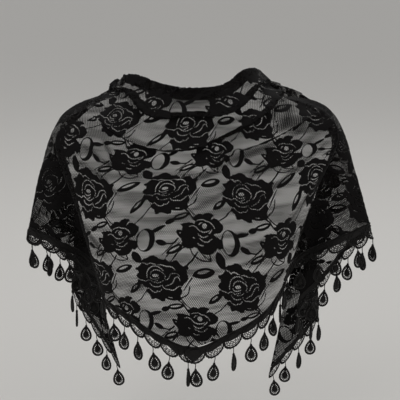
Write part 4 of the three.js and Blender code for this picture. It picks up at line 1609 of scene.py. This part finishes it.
embroidery, shader = new_material("polyester_cord_embroidered")
shader.inputs["Roughness"].default_value = 0.6
shader.inputs["IOR"].default_value = 1.54
shader.inputs["Specular IOR Level"].default_value = 0.15
twist = add_node(embroidery, "ShaderNodeTexWave", {
    "Vector": add_node(embroidery, "ShaderNodeTexCoord").outputs["Object"],
    "Scale": WAVE_AT_SCALE_ONE / (TWIST_PITCH * MM), "Distortion": 3.0, "Detail": 2.0,
}, bands_direction="DIAGONAL")
bump = add_node(embroidery, "ShaderNodeBump", {
    "Height": twist.outputs["Fac"], "Strength": 0.5, "Distance": 0.0003,
})
# Painted highlight: the crest of each turn of the twist is lighter
colour = add_node(embroidery, "ShaderNodeMix", {
    "Factor": twist.outputs["Fac"], "A": linear("#080707"), "B": linear("#1b1918"),
}, data_type="RGBA")
embroidery.node_tree.links.new(bump.outputs["Normal"], shader.inputs["Normal"])
embroidery.node_tree.links.new(colour.outputs["Result"], shader.inputs["Base Color"])
for piece in (edging_left, edging_right):
    piece.data.materials.append(embroidery)
print(len(embroidery.node_tree.nodes), "nodes make the cord")

# %% [markdown]
# ## Floor and light
#
# A plain pale floor runs back far enough to fill the picture. Small hard lamps would throw
# sharp shadows of the lace onto itself, so three large soft ones light it, in a pale world.

# %% Show each colour as it is, so that a hex value above is what the picture shows
bpy.context.scene.view_settings.view_transform = "Standard"

# %% Floor
FLOOR_BELOW = 0.06
FLOOR_SIZE = 60

paper, shader = new_material("paper_matt")
shader.inputs["Base Color"].default_value = linear("#dedcd8")
shader.inputs["Roughness"].default_value = 0.9
floor_mesh = bpy.data.meshes.new("floor")
half = FLOOR_SIZE / 2
floor_level = min(cad_bounds[0][2], cad_bounds[1][2]) - FLOOR_BELOW
floor_plan = [(-half, -half), (half, -half), (half, half), (-half, half)]
floor_mesh.from_pydata([(x, y, floor_level) for x, y in floor_plan], [], [(0, 1, 2, 3)])
floor_mesh.materials.append(paper)
floor = bpy.data.objects.new("floor", floor_mesh)
bpy.context.scene.collection.objects.link(floor)
print("floor at", round(floor_level, 3), "m")

# %% Lights
LIGHTS = [
    dict(name="key", at=(-1.4, -1.9, 1.6), size=1.6, power=13),
    dict(name="fill", at=(1.9, -1.5, 0.9), size=1.8, power=9),
    dict(name="top", at=(0.2, 1.3, 1.9), size=1.8, power=14),
]
AIM = Vector((0, 0, -0.2))
WORLD_STRENGTH = 0.68

for light in LIGHTS:
    data = bpy.data.lights.new(light["name"], "AREA")
    data.size = light["size"]
    data.energy = light["power"]
    made = bpy.data.objects.new(light["name"], data)
    made.location = light["at"]
    made.rotation_euler = (AIM - made.location).to_track_quat("-Z", "Y").to_euler()
    bpy.context.scene.collection.objects.link(made)
world = bpy.data.worlds.new("studio")
world.use_nodes = True
world.node_tree.nodes["Background"].inputs["Color"].default_value = linear("#d9d9d9")
world.node_tree.nodes["Background"].inputs["Strength"].default_value = WORLD_STRENGTH
bpy.context.scene.world = world
print(len(LIGHTS), "lights")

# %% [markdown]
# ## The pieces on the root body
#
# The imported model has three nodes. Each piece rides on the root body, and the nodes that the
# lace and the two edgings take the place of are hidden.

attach(lace, "root")
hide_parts("lace_body")
for piece, node in ((edging_left, "edging_left"), (edging_right, "edging_right")):
    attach(piece, "root")
    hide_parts(node)
